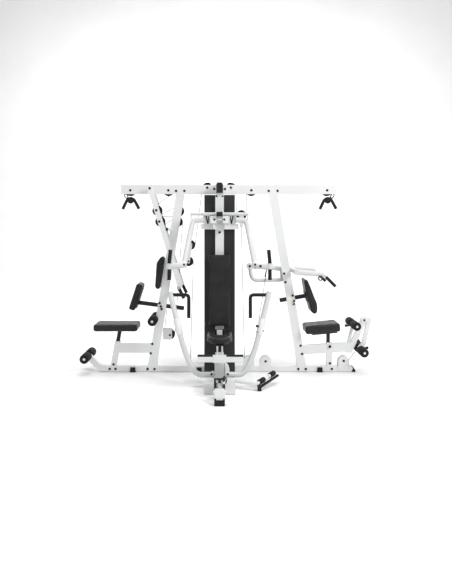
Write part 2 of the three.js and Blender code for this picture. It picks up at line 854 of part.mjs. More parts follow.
// Dip lever: rocks on the back of the right upright, arms reach out over the right seat.
const dipY = 55;
const dipArm = 290;
const dipTube = 27;
const dipGrip = 14;
add(
  "dip_lever",
  "white",
  join(
    rod([310, dipY - 27, 1073], [310, dipY + 27, 1073], 34, 16),
    pipe([[310, dipY, 1073], [752, dipY, 1035]], 24, 10, 12),
    pipe([[312, dipY, 1060], [335, dipY, 925], [640, dipY, 930]], 20, 160, 10, 6),
    plateY([[625, 915], [680, 915], [690, 1042], [620, 1050]], dipY - 14, dipY + 14),
    rod([DIP_AXIS.x, TUBE.half + 1, DIP_AXIS.z], [DIP_AXIS.x, dipY + 24, DIP_AXIS.z], 28, 14),
    rod([752, -dipArm - dipTube, 1035], [752, dipArm + dipTube, 1035], dipTube, 14),
    ...sides.flatMap((s) => [
      rod([752, s * dipArm, 1035], [1012, s * dipArm, 1014], dipTube, 12),
      rod([1006, s * dipArm, 1020], [1130, s * dipArm, 896], dipGrip, 10),
    ]),
  ),
);

// Leg lever: plates astride the pivot, an arm outside and the ankle roller axle below.
const ankle = [1435, 226];
add(
  "leg_lever",
  "white",
  cut(
    join(
      ...sides.map((s) =>
        plateY(
          [[1446, 505], [1530, 512], [1532, 552], [1456, 556], [1440, 536]],
          s < 0 ? -33 : 27,
          s < 0 ? -27 : 33,
        ),
      ),
      box(1508, 1530, -30, 30, 514, 550),
      plateY([[1506, 552], [1548, 548], [1484, 262], [1444, 262]].reverse(), -20, 20),
      plateY([[1444, 290], [1484, 290], [1462, 205], [1412, 205], [1412, 250]].reverse(), -20, 20),
      rod([LEG_AXIS.x, -31, LEG_AXIS.z], [LEG_AXIS.x, 31, LEG_AXIS.z], 7, 10),
    ),
    rod([ankle[0], -40, ankle[1]], [ankle[0], 40, ankle[1]], ROLLER.bore, 12),
  ),
);

// Handles that hang from the ends of the crossbeam: two splayed bars off a round hub, with
// the lug of the snap hook on the shoulder nearer the beam's end.
function handle(x, outward) {
  const bars = [[-80, 1657], [-36, 1752], [0, 1770], [34, 1756], [86, 1660]];
  const lug = x + outward * 31;
  return join(
    pipe(bars.map(([dx, z]) => [x + dx, 0, z]), 15, 24, 10, 3),
    rod([x, -14, 1746], [x, 14, 1746], 32, 16),
    rod([lug, -7, 1768], [lug, 7, 1768], 9, 10),
  );
}
add("handle_left", "rubber", handle(-908, -1));
add("handle_right", "rubber", handle(1104, 1));

// ---------------------------------------------------------------- cables
// A cable is laid from a start to an end round pulleys in one upright plane; turn is 1
// where it runs anticlockwise seen from the front with +X to the right, else -1.
function lay(start, wraps, end, drift = () => 0) {
  const stops = [{ at: start, r: 0, turn: 1 }, ...wraps, { at: end, r: 0, turn: 1 }];
  const legs = [];
  for (let i = 0; i < stops.length - 1; i++) {
    const [a, b] = [stops[i], stops[i + 1]];
    const [dx, dz] = [b.at[0] - a.at[0], b.at[1] - a.at[1]];
    const k = a.r * a.turn - b.r * b.turn;
    const run = Math.sqrt(dx * dx + dz * dz - k * k);
    const angle = Math.atan2(dz, dx) + Math.atan2(k, run);
    const touch = ({ at, r, turn }) => [
      at[0] + r * turn * Math.sin(angle),
      at[1] - r * turn * Math.cos(angle),
    ];
    legs.push([touch(a), touch(b)]);
  }
  const points = [legs[0][0], legs[0][1]];
  for (let i = 1; i < legs.length; i++) {
    const { at, turn } = stops[i];
    const polar = ([x, z]) => Math.atan2(z - at[1], x - at[0]);
    const from = polar(legs[i - 1][1]);
    const sweepAngle = turn * (polar(legs[i][0]) - from);
    const total = turn * (sweepAngle < 0 ? sweepAngle + 2 * Math.PI : sweepAngle);
    const count = Math.max(2, Math.ceil(Math.abs(total) / 0.45));
    for (let j = 1; j <= count; j++) {
      const angle = from + (total * j) / count;
      points.push([at[0] + stops[i].r * Math.cos(angle), at[1] + stops[i].r * Math.sin(angle)]);
    }
    points.push(legs[i][1]);
  }
  return points.map(([x, z]) => [x, drift(z, x), z]);
}
const CABLE = { radius: 2.5, wrap: 50, sides: 6 };
const cable = (points) => sweep(circle(CABLE.radius, CABLE.sides), points, 0, 1);
const round = (at, turn, r = CABLE.wrap) => ({ at, r, turn });

// Lat and row cable: from the left handle along the beam, then to and fro between the row
// lever and the left upright, down to the low pulley and up into the upright.
const rowCable = lay(
  [-958, 1800],
  [
    round([-908, 1846], -1),
    round([-521, 1846], -1),
    round(leverPulleys[0], 1),
    round(rowPulleys[0], -1),
    round(leverPulleys[1], 1),
    round(rowPulleys[1], -1),
    round([-513, 377], -1, 54),
  ],
  [-541, 630],
  (z) => LOW_Y * Math.min(1, Math.max(0, (1478 - z) / 900)),
);
add("cable_row", "steel", cable(rowCable));

// Press cable: from the right handle along the beam, under a floating pulley beside the
// shroud, over both top pulleys and down to the upper pulley of the left floating block.
const blockLeft = { upper: [-297, 1293], lower: [-316, 1125] };
add(
  "cable_press",
  "steel",
  cable(
    lay(
      [1144, 1800],
      [
        round([1094, 1846], 1),
        round([323, 1846], 1),
        round([222, 1598], -1),
        round([115, 1875], 1),
        round([-125, 1875], 1),
        round(blockLeft.upper, -1, 48),
      ],
      [-345, 1330],
    ),
  ),
);
add(
  "cable_left_drop",
  "steel",
  cable(lay([-366, 1085], [round(blockLeft.lower, -1, 48)], [-298, 66])),
);
add(
  "cable_dip",
  "steel",
  cable(
    lay([483, 1030], [round([housings[0], 110], -1, 42)], [222, 1490], (z, x) =>
      x > housings[0] && z > 500 ? 28 : 0,
    ),
  ),
);
add(
  "cable_leg",
  "steel",
  cable(lay([1405, 236], [round([housings[2], 110], -1, 42)], [1216, 130])),
);

export default gym;
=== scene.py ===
"""Looks of the multi station home gym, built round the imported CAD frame."""

import bmesh
import bpy
import json
import math
from mathutils import Matrix, Vector
from mathutils.bvhtree import BVHTree


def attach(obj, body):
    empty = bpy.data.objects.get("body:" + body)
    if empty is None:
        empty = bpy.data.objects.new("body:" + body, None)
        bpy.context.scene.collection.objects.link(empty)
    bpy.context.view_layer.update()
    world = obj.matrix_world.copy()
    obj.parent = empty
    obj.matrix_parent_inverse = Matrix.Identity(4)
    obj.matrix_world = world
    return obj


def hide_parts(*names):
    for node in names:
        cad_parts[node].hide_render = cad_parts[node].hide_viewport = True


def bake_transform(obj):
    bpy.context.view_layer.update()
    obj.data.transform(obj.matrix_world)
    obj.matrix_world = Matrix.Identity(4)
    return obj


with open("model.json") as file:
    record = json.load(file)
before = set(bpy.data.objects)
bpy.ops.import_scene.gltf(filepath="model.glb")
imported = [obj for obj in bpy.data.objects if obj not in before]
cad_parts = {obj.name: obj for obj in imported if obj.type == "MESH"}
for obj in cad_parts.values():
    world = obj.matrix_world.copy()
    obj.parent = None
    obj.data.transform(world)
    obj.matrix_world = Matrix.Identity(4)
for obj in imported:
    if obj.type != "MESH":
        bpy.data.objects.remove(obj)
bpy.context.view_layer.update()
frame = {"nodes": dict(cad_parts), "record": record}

# ------------------------------------------------------------------ where things are
# Positions below are in millimetres from the foot of the mast; ORIGIN is the row's origin there.
ORIGIN = Vector((81.075, -316.0, 0.0))
EYE = Vector((0.0, -6400.0, 1495.0))
LENS = 38.65
SHIFT = (0.011, -0.1147)


def at(x, y, z):
    """A point of the row, in metres."""
    return (Vector((x, y, z)) - ORIGIN) / 1000.0


def flat(points, y=0.0):
    """Points (x, z) set upright at the depth y."""
    return [(x, y, z) for x, z in points]


def rectangle(a0, a1, b0, b1):
    return [(a0, b0), (a1, b0), (a1, b1), (a0, b1)]


def add_object(name, data):
    made = bpy.data.objects.new(name, data)
    bpy.context.collection.objects.link(made)
    return made


# ------------------------------------------------------------------ camera and light
camera_data = bpy.data.cameras.new("camera")
camera_data.lens = LENS
camera_data.sensor_width = 36.0
camera_data.shift_x, camera_data.shift_y = SHIFT
camera_data.clip_end = 100.0
camera = add_object("camera", camera_data)
camera.location = at(*EYE)
camera.rotation_euler = (math.radians(90), 0, 0)
bpy.context.scene.camera = camera


def area_light(name, location, target, size, power):
    data = bpy.data.lights.new(name, "AREA")
    data.shape = "RECTANGLE"
    data.size, data.size_y = size
    data.energy = power
    light = add_object(name, data)
    light.location = location
    aim = Vector(target) - Vector(location)
    light.rotation_euler = aim.to_track_quat("-Z", "Y").to_euler()


bpy.context.scene.view_settings.view_transform = "Standard"
area_light("key", (4.2, -4.4, 4.2), (0, 0, 0.9), (1.8, 1.6), 230)
area_light("fill", (-4.4, -3.6, 2.6), (0, 0, 0.9), (2.6, 2.6), 22)
area_light("top", (0.0, 0.2, 5.0), (0, 0, 0.5), (5.0, 3.0), 150)
area_light("wall", (0.0, 3.0, 4.6), (0, 6.0, 1.2), (6.0, 1.0), 150)

world = bpy.data.worlds.new("studio")
bpy.context.scene.world = world
world.use_nodes = True
sky = world.node_tree.nodes["Background"]
sky.inputs["Color"].default_value = (1.0, 1.0, 1.0, 1.0)
sky.inputs["Strength"].default_value = 0.5


# ------------------------------------------------------------------ materials
def shader(name, base, rough, **extra):
    """A material with its node tree, shader and object coordinates."""
    material = bpy.data.materials.new(name)
    material.use_nodes = True
    tree = material.node_tree
    bsdf = tree.nodes["Principled BSDF"]
    bsdf.inputs["Base Color"].default_value = (*base, 1.0)
    bsdf.inputs["Roughness"].default_value = rough
    for socket, value in extra.items():
        bsdf.inputs[socket.replace("_", " ")].default_value = value
    coordinates = tree.nodes.new("ShaderNodeTexCoord")
    return material, tree, bsdf, coordinates.outputs["Object"]


def noise(tree, where, scale, detail=3.0, rough=0.55, stretch=None):
    node = tree.nodes.new("ShaderNodeTexNoise")
    node.inputs["Scale"].default_value = scale
    node.inputs["Detail"].default_value = detail
    node.inputs["Roughness"].default_value = rough
    if stretch:
        mapping = tree.nodes.new("ShaderNodeMapping")
        mapping.inputs["Scale"].default_value = stretch
        tree.links.new(where, mapping.inputs["Vector"])
        where = mapping.outputs["Vector"]
    tree.links.new(where, node.inputs["Vector"])
    return node.outputs["Fac"]


def ramp(tree, value, low, high, start=0.3, end=0.7):
    node = tree.nodes.new("ShaderNodeMapRange")
    node.inputs["From Min"].default_value = start
    node.inputs["From Max"].default_value = end
    node.inputs["To Min"].default_value = low
    node.inputs["To Max"].default_value = high
    tree.links.new(value, node.inputs["Value"])
    return node.outputs["Result"]


def tint(tree, bsdf, factor, first, second):
    """Base colour between two colours."""
    node = tree.nodes.new("ShaderNodeMix")
    node.data_type = "RGBA"
    node.inputs["A"].default_value = (*first, 1.0)
    node.inputs["B"].default_value = (*second, 1.0)
    tree.links.new(factor, node.inputs["Factor"])
    tree.links.new(node.outputs["Result"], bsdf.inputs["Base Color"])


def bump(tree, bsdf, height, strength, distance, below=None):
    node = tree.nodes.new("ShaderNodeBump")
    node.inputs["Strength"].default_value = strength
    node.inputs["Distance"].default_value = distance
    tree.links.new(height, node.inputs["Height"])
    if below is not None:
        tree.links.new(below, node.inputs["Normal"])
    tree.links.new(node.outputs["Normal"], bsdf.inputs["Normal"])
    return node.outputs["Normal"]


def painted(name, base, rough, blotch, texture_scale, texture_depth, coat=0.0, gleam=0.5):
    """Powder coat: orange peel bump, faint blotches and a little roughness change."""
    extra = {"Coat_Weight": coat, "Specular_IOR_Level": gleam}
    material, tree, bsdf, where = shader(name, base, rough, **extra)
    patches = ramp(tree, noise(tree, where, 4.0), 0.0, 1.0)
    tint(tree, bsdf, patches, tuple(c * (1 - blotch) for c in base), base)
    gloss = ramp(tree, noise(tree, where, 34.0), rough - 0.05, rough + 0.07)
    tree.links.new(gloss, bsdf.inputs["Roughness"])
    peel = noise(tree, where, texture_scale, 2.0)
    bump(tree, bsdf, peel, 0.25, texture_depth)
    return material


def vinyl(name, base):
    """Grained upholstery vinyl: a cell grain over soft unevenness of the foam below."""
    material, tree, bsdf, where = shader(name, base, 0.42, Specular_IOR_Level=0.24)
    cells = tree.nodes.new("ShaderNodeTexVoronoi")
    cells.feature = "DISTANCE_TO_EDGE"
    cells.inputs["Scale"].default_value = 620.0
    tree.links.new(where, cells.inputs["Vector"])
    soft = bump(tree, bsdf, noise(tree, where, 16.0, 4.0), 0.22, 0.006)
    grain = ramp(tree, cells.outputs["Distance"], 0.0, 1.0, 0.0, 0.16)
    bump(tree, bsdf, grain, 0.35, 0.0004, soft)
    wear = ramp(tree, noise(tree, where, 7.0, 5.0), 0.0, 1.0, 0.35, 0.7)
    lighter = tuple(c * 1.45 + 0.002 for c in base)
    tint(tree, bsdf, wear, base, lighter)
    gloss = ramp(tree, noise(tree, where, 22.0), 0.36, 0.52)
    tree.links.new(gloss, bsdf.inputs["Roughness"])
    return material


def foam(name, base):
    """Closed-cell foam: fine pits, matt, with a faint lighter bloom."""
    material, tree, bsdf, where = shader(name, base, 0.82, Specular_IOR_Level=0.2)
    pits = tree.nodes.new("ShaderNodeTexVoronoi")
    pits.inputs["Scale"].default_value = 480.0
    tree.links.new(where, pits.inputs["Vector"])
    bump(tree, bsdf, pits.outputs["Distance"], 0.5, 0.0006)
    bloom = ramp(tree, noise(tree, where, 45.0, 5.0), 0.0, 1.0)
    lighter = tuple(c * 1.7 + 0.003 for c in base)
    tint(tree, bsdf, bloom, base, lighter)
    return material


def brushed(name, base, rough):
    """Brushed or plated steel: fine streaks along Z in roughness and height."""
    material, tree, bsdf, where = shader(name, base, rough, Metallic=1.0)
    streak = noise(tree, where, 60.0, 4.0, 0.6, (9.0, 9.0, 0.6))
    tree.links.new(ramp(tree, streak, rough - 0.08, rough + 0.12), bsdf.inputs["Roughness"])
    bump(tree, bsdf, streak, 0.1, 0.0003)
    dull = tuple(c * 0.82 for c in base)
    tint(tree, bsdf, ramp(tree, streak, 0, 1), dull, base)
    return material


def moulded(name, base, rough):
    """Moulded plastic or rubber with a fine spark texture."""
    material, tree, bsdf, where = shader(name, base, rough, Specular_IOR_Level=0.3)
    spark = noise(tree, where, 260.0, 2.0)
    bump(tree, bsdf, spark, 0.3, 0.0004)
    patch = ramp(tree, noise(tree, where, 18.0, 4.0), 0.0, 1.0)
    lighter = tuple(min(1.0, c * 1.35 + 0.002) for c in base)
    tint(tree, bsdf, patch, base, lighter)
    gloss = ramp(tree, noise(tree, where, 60.0), rough - 0.06, rough + 0.08)
    tree.links.new(gloss, bsdf.inputs["Roughness"])
    return material


def stranded(name, base):
    """Plastic-coated steel cable, with the lay of the strands showing through."""
    material, tree, bsdf, where = shader(name, base, 0.38)
    wave = tree.nodes.new("ShaderNodeTexWave")
    wave.inputs["Scale"].default_value = 190.0
    wave.inputs["Distortion"].default_value = 1.0
    tree.links.new(where, wave.inputs["Vector"])
    bump(tree, bsdf, wave.outputs["Fac"], 0.4, 0.0004)
    lighter = tuple(c * 1.5 for c in base)
    tint(tree, bsdf, wave.outputs["Fac"], base, lighter)
    return material


WHITE = painted("frame_white", (0.745, 0.752, 0.756), 0.34, 0.05, 420.0, 0.0003, 0.15)
# Painted shade: the round tubes carry the frame's white paint, given here as a darker copy of it
# for the shading along the tubes
TUBE_WHITE_PAINTED_SHADE = painted("tube_white_painted_shade", (0.62, 0.627, 0.632), 0.42, 0.05, 420.0, 0.0003, 0.1)
BLACK = painted("black_metal", (0.014, 0.014, 0.015), 0.42, 0.2, 520.0, 0.0003, 0.0, 0.3)
SHROUD = painted("shroud_grey", (0.026, 0.026, 0.027), 0.5, 0.12, 700.0, 0.0004, 0.0, 0.3)
STEEL = brushed("steel_grey", (0.60, 0.61, 0.62), 0.34)
CHROME = brushed("chrome", (0.78, 0.79, 0.80), 0.16)
GREY = painted("housing_grey", (0.60, 0.61, 0.62), 0.4, 0.06, 420.0, 0.0003, 0.1)
IRON = painted("stack_iron", (0.03, 0.03, 0.032), 0.55, 0.25, 300.0, 0.0005, 0.0, 0.4)
VINYL = vinyl("vinyl_black", (0.014, 0.014, 0.015))
FOAM = foam("foam_black", (0.010, 0.010, 0.011))
RUBBER = moulded("rubber_black", (0.009, 0.009, 0.010), 0.7)
NYLON = moulded("nylon_black", (0.010, 0.010, 0.011), 0.4)
CREAM = moulded("bushing_cream", (0.72, 0.70, 0.55), 0.45)
CABLE = stranded("cable_coated", (0.05, 0.05, 0.053))
CAP_GREY = moulded("cap_grey", (0.55, 0.55, 0.56), 0.4)

# The main material of each slot, and the slot of each piece by its first material.
PAINT = {"frame_white": WHITE, "black_metal": BLACK, "shroud_grey": SHROUD, "steel_grey": STEEL}
PAINT |= {"stack_iron": IRON, "vinyl_black": VINYL, "foam_black": FOAM, "rubber_black": RUBBER}
SLOTS = {material: slot for slot, material in PAINT.items()}
SLOTS |= {TUBE_WHITE_PAINTED_SHADE: "frame_white", CREAM: "frame_white", NYLON: "black_metal"}
SLOTS |= {material: "steel_grey" for material in (CHROME, GREY, CABLE, CAP_GREY)}


# ------------------------------------------------------------------ mesh building
def place_on(axis):
    """Maps outline coordinates and a height to model coordinates."""
    return {
        "y": lambda a, b, c: (a, c, b),
        "x": lambda a, b, c: (c, a, b),
        "z": lambda a, b, c: (a, b, c),
    }[axis]


class Shape:
    """Collects solids, given in millimetres, into one mesh object."""

    def __init__(self):
        self.mesh = bmesh.new()
        self.index = 0

    def paint(self, index):
        """Later solids take this one of the piece's materials."""
        self.index = index
        return self

    def add(self, points, faces):
        verts = [self.mesh.verts.new(at(*p)) for p in points]
        for face in faces:
            made = self.mesh.faces.new([verts[i] for i in face])
            made.material_index = self.index
        return self

    def box(self, x0, x1, y0, y1, z0, z1):
        points = [(x, y, z) for x in (x0, x1) for y in (y0, y1) for z in (z0, z1)]
        quads = [(0, 1, 3, 2), (4, 6, 7, 5), (0, 4, 5, 1), (2, 3, 7, 6), (0, 2, 6, 4), (1, 5, 7, 3)]
        return self.add(points, quads)

    def prism(self, outline, axis, low, high):
        """outline in the other two axes: [x, z] for y, [y, z] for x, [x, y] for z."""
        place = place_on(axis)
        n = len(outline)
        points = [place(a, b, low) for a, b in outline] + [place(a, b, high) for a, b in outline]
        faces = [tuple(range(n))[::-1], tuple(range(n, 2 * n))]
        faces += [(i, (i + 1) % n, n + (i + 1) % n, n + i) for i in range(n)]
        return self.add(points, faces)

    def lathe(self, profile, centre, axis, sides=40):
        """profile of (radius, along) pairs; radius 0 closes on the axis, else the ring closes."""
        direction = Vector(axis).normalized()
        u = direction.orthogonal().normalized()
        v = direction.cross(u)
        base = Vector(centre)
        points, rings = [], []
        for radius, along in profile:
            if radius == 0:
                rings.append([len(points)] * sides)
                points.append(tuple(base + direction * along))
                continue
            rings.append(list(range(len(points), len(points) + sides)))
            for k in range(sides):
                turn = 2 * math.pi * k / sides
                spoke = (u * math.cos(turn) + v * math.sin(turn)) * radius
                points.append(tuple(base + direction * along + spoke))
        closed = profile[0][0] != 0
        pairs = list(zip(rings, rings[1:])) + ([(rings[-1], rings[0])] if closed else [])
        faces = []
        for a, b in pairs:
            for k in range(sides):
                m = (k + 1) % sides
                face = [a[k], a[m], b[m], b[k]]
                face = [p for i, p in enumerate(face) if p != face[i - 1]]
                if len(set(face)) > 2:
                    faces.append(tuple(dict.fromkeys(face)))
        return self.add(points, faces)

    def tube(self, points, radius, bend=0.0, sides=20, steps=8):
        """A round tube along a path whose corners are rounded; ends are closed and eased."""
        path = rounded(points, bend, steps)
        rings, verts = [], []
        tangent = (path[1] - path[0]).normalized()
        side = tangent.orthogonal().normalized()
        ease = min(2.0, radius * 0.25)
        stations = [(path[0], tangent, radius - ease)]
        for i, p in enumerate(path):
            before, after = path[max(i - 1, 0)], path[min(i + 1, len(path) - 1)]
            stations.append((p, (after - before).normalized(), radius))
        stations[1] = (path[0] + tangent * ease, stations[1][1], radius)
        last = (path[-1] - path[-2]).normalized()
        stations[-1] = (path[-1] - last * ease, stations[-1][1], radius)
        stations.append((path[-1], last, radius - ease))
        for p, t, r in stations:
            side = (side - t * side.dot(t)).normalized()
            other = t.cross(side)
            rings.append(list(range(len(verts), len(verts) + sides)))
            for k in range(sides):
                turn = 2 * math.pi * k / sides
                verts.append(tuple(p + (side * math.cos(turn) + other * math.sin(turn)) * r))
        faces = [tuple(rings[0][::-1]), tuple(rings[-1])]
        for a, b in zip(rings, rings[1:]):
            faces += [(a[k], a[(k + 1) % sides], b[(k + 1) % sides], b[k]) for k in range(sides)]
        return self.add(verts, faces)

    def make(self, name, body, materials, bevel=0.0, replaces=()):
        """Ends the shape: one smooth-shaded object with sharp edges above 35 degrees."""
        bmesh.ops.recalc_face_normals(self.mesh, faces=self.mesh.faces)
        data = bpy.data.meshes.new(name)
        self.mesh.to_mesh(data)
        self.mesh.free()
        materials = materials if isinstance(materials, list) else [materials]
        for material in materials:
            data.materials.append(material)
        data.shade_smooth()
        data.set_sharp_from_angle(angle=math.radians(35))
        piece = add_object(name, data)
        if bevel:
            soften(piece, bevel)
        if body:
            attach(piece, body)
        if replaces:
            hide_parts(*replaces)
        return piece


def soften(piece, width):
    """Bevels the sharp edges, width in millimetres."""
    modifier = piece.modifiers.new("edges", "BEVEL")
    modifier.width = width / 1000.0
    modifier.segments = 2
    modifier.limit_method = "ANGLE"
    modifier.angle_limit = math.radians(38)


def rounded(points, bend, steps):
    """The path with each inner corner replaced by a curve that starts bend before it."""
    corner = [Vector(p) for p in points]
    if bend == 0:
        return corner
    path = [corner[0]]
    for i in range(1, len(corner) - 1):
        back, ahead = corner[i - 1] - corner[i], corner[i + 1] - corner[i]
        reach = min(bend, back.length * 0.45, ahead.length * 0.45)
        a = corner[i] + back.normalized() * reach
        b = corner[i] + ahead.normalized() * reach
        for k in range(steps + 1):
            t = k / steps
            path.append(a * (1 - t) ** 2 + corner[i] * 2 * t * (1 - t) + b * t * t)
    path.append(corner[-1])
    return path


SIDES = (-1, 1)
SIDE_NAMES = ((-1, "left"), (1, "right"))
DEPTH_NAMES = ((-1, "near"), (1, "far"))
FRONT = (0, -1, 0)
# Depths of the front faces that carry bolts.
BEAM_FACE, UPRIGHT_FACE, PLATE_FACE, HOUSING_FACE, MAST_FACE = -25.2, -25.3, -30.2, -29.2, -112.3

# ------------------------------------------------------------------ the CAD nodes that stay
slot_of = {s["node"]: s["material_slot"] for s in frame["record"]["subparts"]}
for name, node in frame["nodes"].items():
    node.data.materials.clear()
    node.data.materials.append(PAINT[slot_of[name]])
    if slot_of[name] in ("frame_white", "shroud_grey", "black_metal", "stack_iron"):
        soften(node, 2.0)
for name in ("low_housing_left", "low_housing_front"):
    frame["nodes"][name].data.materials[0] = GREY
    soften(frame["nodes"][name], 3.0)


# ------------------------------------------------------------------ bolts and knobs
def bolts(name, body, places, direction=FRONT, radius=12.0):
    """Black washers and domed nuts."""
    shape = Shape()
    for place in places:
        r = radius
        profile = [(0, 8.5), (r * 0.35, 8.2), (r * 0.62, 6.6), (r * 0.72, 4.0), (r * 0.74, 2.4)]
        profile += [(r, 2.2), (r * 1.05, 1.6), (r * 1.05, 0.2), (0, 0.2)]
        shape.lathe(profile, place, direction, 20)
    return shape.make(name, body, BLACK)


def knob(name, body, place, direction, radius=17.0, length=34.0, stem=10.0):
    """Pull-pin knob on its collar."""
    r = radius
    profile = [(0, length), (r * 0.7, length), (r * 0.95, length - 3), (r, length - 9)]
    profile += [(r * 0.92, length * 0.45), (r * 0.5, length * 0.34), (r * 0.5, stem)]
    profile += [(r * 0.62, stem * 0.8), (r * 0.62, 0.2), (0, 0.2)]
    return Shape().lathe(profile, place, direction, 28).make(name, body, NYLON)


beam_bolts = [(-908, 1848), (-521, 1848), (-125, 1875), (115, 1875), (323, 1848), (1094, 1848)]
beam_bolts += [(-443, 1842), (-358, 1842), (500, 1842), (590, 1842)]
bolts("bolts_crossbeam", "frame", flat(beam_bolts, BEAM_FACE))
base_bolts = flat([(-731, 32), (-661, 32), (800, 32), (876, 32)], PLATE_FACE)
base_bolts += flat([(-1117, 32), (-1058, 32), (1142, 32), (-1078, 78)], BEAM_FACE)
bolts("bolts_bases", "frame", base_bolts)
bolts("bolts_housings", "frame", flat([(296, 110), (468, 110), (1262, 114)], HOUSING_FACE))
upright_bolts = [(656, 1001), (671, 914), (-684, 286), (-700, 190), (824, 268), (839, 184)]
upright_bolts += [(1122, 88)]
bolts("bolts_uprights", "frame", flat(upright_bolts, UPRIGHT_FACE))

for label, x, z, radius, length in (
    ("chest_1", -596, 669, 12, 26),
    ("back_1", 741, 780, 12, 26),
    ("back_2", 758, 725, 12, 26),
    ("back_3", 756, 692, 10, 22),
    ("seat_right", 1119, 262, 14, 26),
):
    knob(f"knob_{label}", "frame", (x, BEAM_FACE, z), FRONT, radius, length)
bolts("bolts_pad_posts", "frame", flat([(-611, 701), (-590, 640)], UPRIGHT_FACE))
bushing = Shape()
bushing.box(-588, -566, -26.5, 26.5, 655, 692)
bushing.box(700, 728, -26.5, 26.5, 722, 768)
bushing.make("post_bushings", "frame", CREAM, 2.0)

# ------------------------------------------------------------------ snap hooks
def snap_hook(name, body, ring, lean, size=1.0):
    """A carabiner: an oval loop of rod and the swivel eye above it; lean in degrees."""
    k = size
    loop = [(-9, 0), (-10, -14), (-7, -30), (0, -36), (7, -30), (10, -14), (9, 0), (0, 6), (-9, 0)]
    x, y, z = ring
    across, down = math.cos(math.radians(lean)), math.sin(math.radians(lean))
    points = []
    for a, b in loop:
        a, b = a * k, b * k
        points.append((x + a * across - b * down, y, z + a * down + b * across))
    eye = [(0, 12 * k), (4 * k, 12 * k), (6 * k, 9 * k), (6 * k, 5 * k), (0, 5 * k)]
    shape = Shape().tube(points, 3.8 * k, 6 * k, 12, 4).lathe(eye, ring, (0, 0, 1), 16)
    return shape.make(name, body, BLACK)


# ------------------------------------------------------------------ pulleys
def pulley(name, body, centre, axis, radius=52.0, replaces=()):
    """A grooved nylon wheel with a steel bearing."""
    r = radius
    half = [(6, 11.5), (13, 11.5), (15, 9), (17, 6), (r - 17, 5), (r - 13, 8), (r - 11, 11.2)]
    half += [(r - 2, 11.4), (r, 10.4), (r, 8.4), (r - 5, 3.4), (r - 6.5, 0)]
    profile = half + [(a, -b) for a, b in reversed(half[:-1])]
    shape = Shape().lathe(profile, centre, axis, 56)
    bearing = [(5.6, 12.6), (11, 12.6), (12, 11.4), (12, -11.4), (11, -12.6), (5.6, -12.6)]
    shape.paint(1).lathe(bearing, centre, axis, 28)
    return shape.make(name, body, [NYLON, STEEL], replaces=replaces)


BEAM_PULLEYS = [(-908, 1846), (-521, 1846), (-125, 1875), (115, 1875), (323, 1846), (1094, 1846)]
for number, (x, z) in enumerate(BEAM_PULLEYS, 1):
    pulley(f"beam_pulley_{number}", "frame", (x, 0, z), FRONT, 52 if z > 1860 else 57)
pulley("high_pulley_front", "frame", (0, -250, 1872), (1, 0, 0), 46)
guard = Shape()
cheek = [(-302, 1822), (-198, 1822), (-198, 1880), (-224, 1910), (-250, 1917), (-276, 1912)]
for s in SIDES:
    guard.prism(cheek + [(-302, 1880)], "x", s * 23 - 3.5, s * 23 + 3.5)
nose = [(-27, 1818), (27, 1818), (27, 1882), (20, 1901), (9, 1910), (-9, 1910), (-20, 1901)]
guard.prism(nose + [(-27, 1882)], "y", -307, -300)
guard.make("high_pulley_guard", "frame", BLACK, 2.0)
for s, label in SIDE_NAMES:
    knob(f"boom_knob_{label}", "frame", (s * 38.3, -276, 1847), (s, 0, 0), 15, 24, 6)
bolts("bolts_boom", "frame", flat([(-30, 1784), (30, 1784)], MAST_FACE), radius=9)
LOW_PULLEY, LOW_PULLEY_Y = (-513, 377), 28
UPRIGHT_PULLEYS = [(-412, 1635), (-427, 1528)]
LEVER_PULLEYS = [(-634, 1642), (-604, 1530)]
for number, (x, z) in enumerate(UPRIGHT_PULLEYS, 1):
    pulley(f"upright_pulley_{number}", "frame", (x, 0, z), FRONT)
for number, (x, z) in enumerate(LEVER_PULLEYS, 1):
    pulley(f"row_pulley_{number}", "row_arm", (x, 0, z), FRONT)
spot = (LOW_PULLEY[0], LOW_PULLEY_Y, LOW_PULLEY[1])
pulley("low_pulley_left", "low_left_pulley", spot, FRONT, 56, ["pulley_low_left"])
pulley("low_pulley_front", "frame", (0, -990, 125), (1, 0, 0), 46)
dome = [(0, 22), (9, 21), (18, 17), (25, 9), (28, 0), (28, -10), (0, -10)]
dome = Shape().lathe(dome, (0, -1030, 112), FRONT, 36)
dome.make("low_pulley_cap", "frame", GREY)
guard = Shape().tube([(-47, -1046, 180), (47, -1046, 180)], 8, 0, 24)
for s in SIDES:
    guard.prism(rectangle(-1056, -1036, 140, 190), "x", s * 44 - 4, s * 44 + 4)
guard.make("low_pulley_keeper", "frame", BLACK, 1.5)
bolts("bolts_low_housing_left", "frame", [(-507, 6.7, 370)], radius=11)
guard = Shape()
flank = [(-645, 64), (-560, 64), (-560, 196), (-578, 222), (-602, 231), (-626, 222), (-645, 196)]
guard.prism(flank, "x", 50, 56)
front = [(50, 232), (62, 226), (82, 200), (92, 160), (88, 120), (74, 90), (50, 84)]
guard.prism(front, "y", -612, -604)
guard.make("low_side_guard", "frame", WHITE, 2.0)
for number, x in enumerate((296, 468, 1262), 1):
    pulley(f"base_pulley_{number}", "frame", (x, 0, 110), FRONT, 44)
FLOATING = {"right": (222, 1598), "left_upper": (-297, 1293), "left_lower": (-316, 1125)}
for name, (x, z) in FLOATING.items():
    pulley(f"floating_pulley_{name}", "frame", (x, 0, z), FRONT, 50)


def floating_block(label, cheek, bar):
    """A pair of white cheeks that carry floating pulleys, and the bar between them."""
    block = Shape()
    for y in (-17, 14):
        block.prism(cheek, "y", y, y + 3)
    block.box(*bar)
    block.make(f"block_{label}", "frame", WHITE, 1.2)


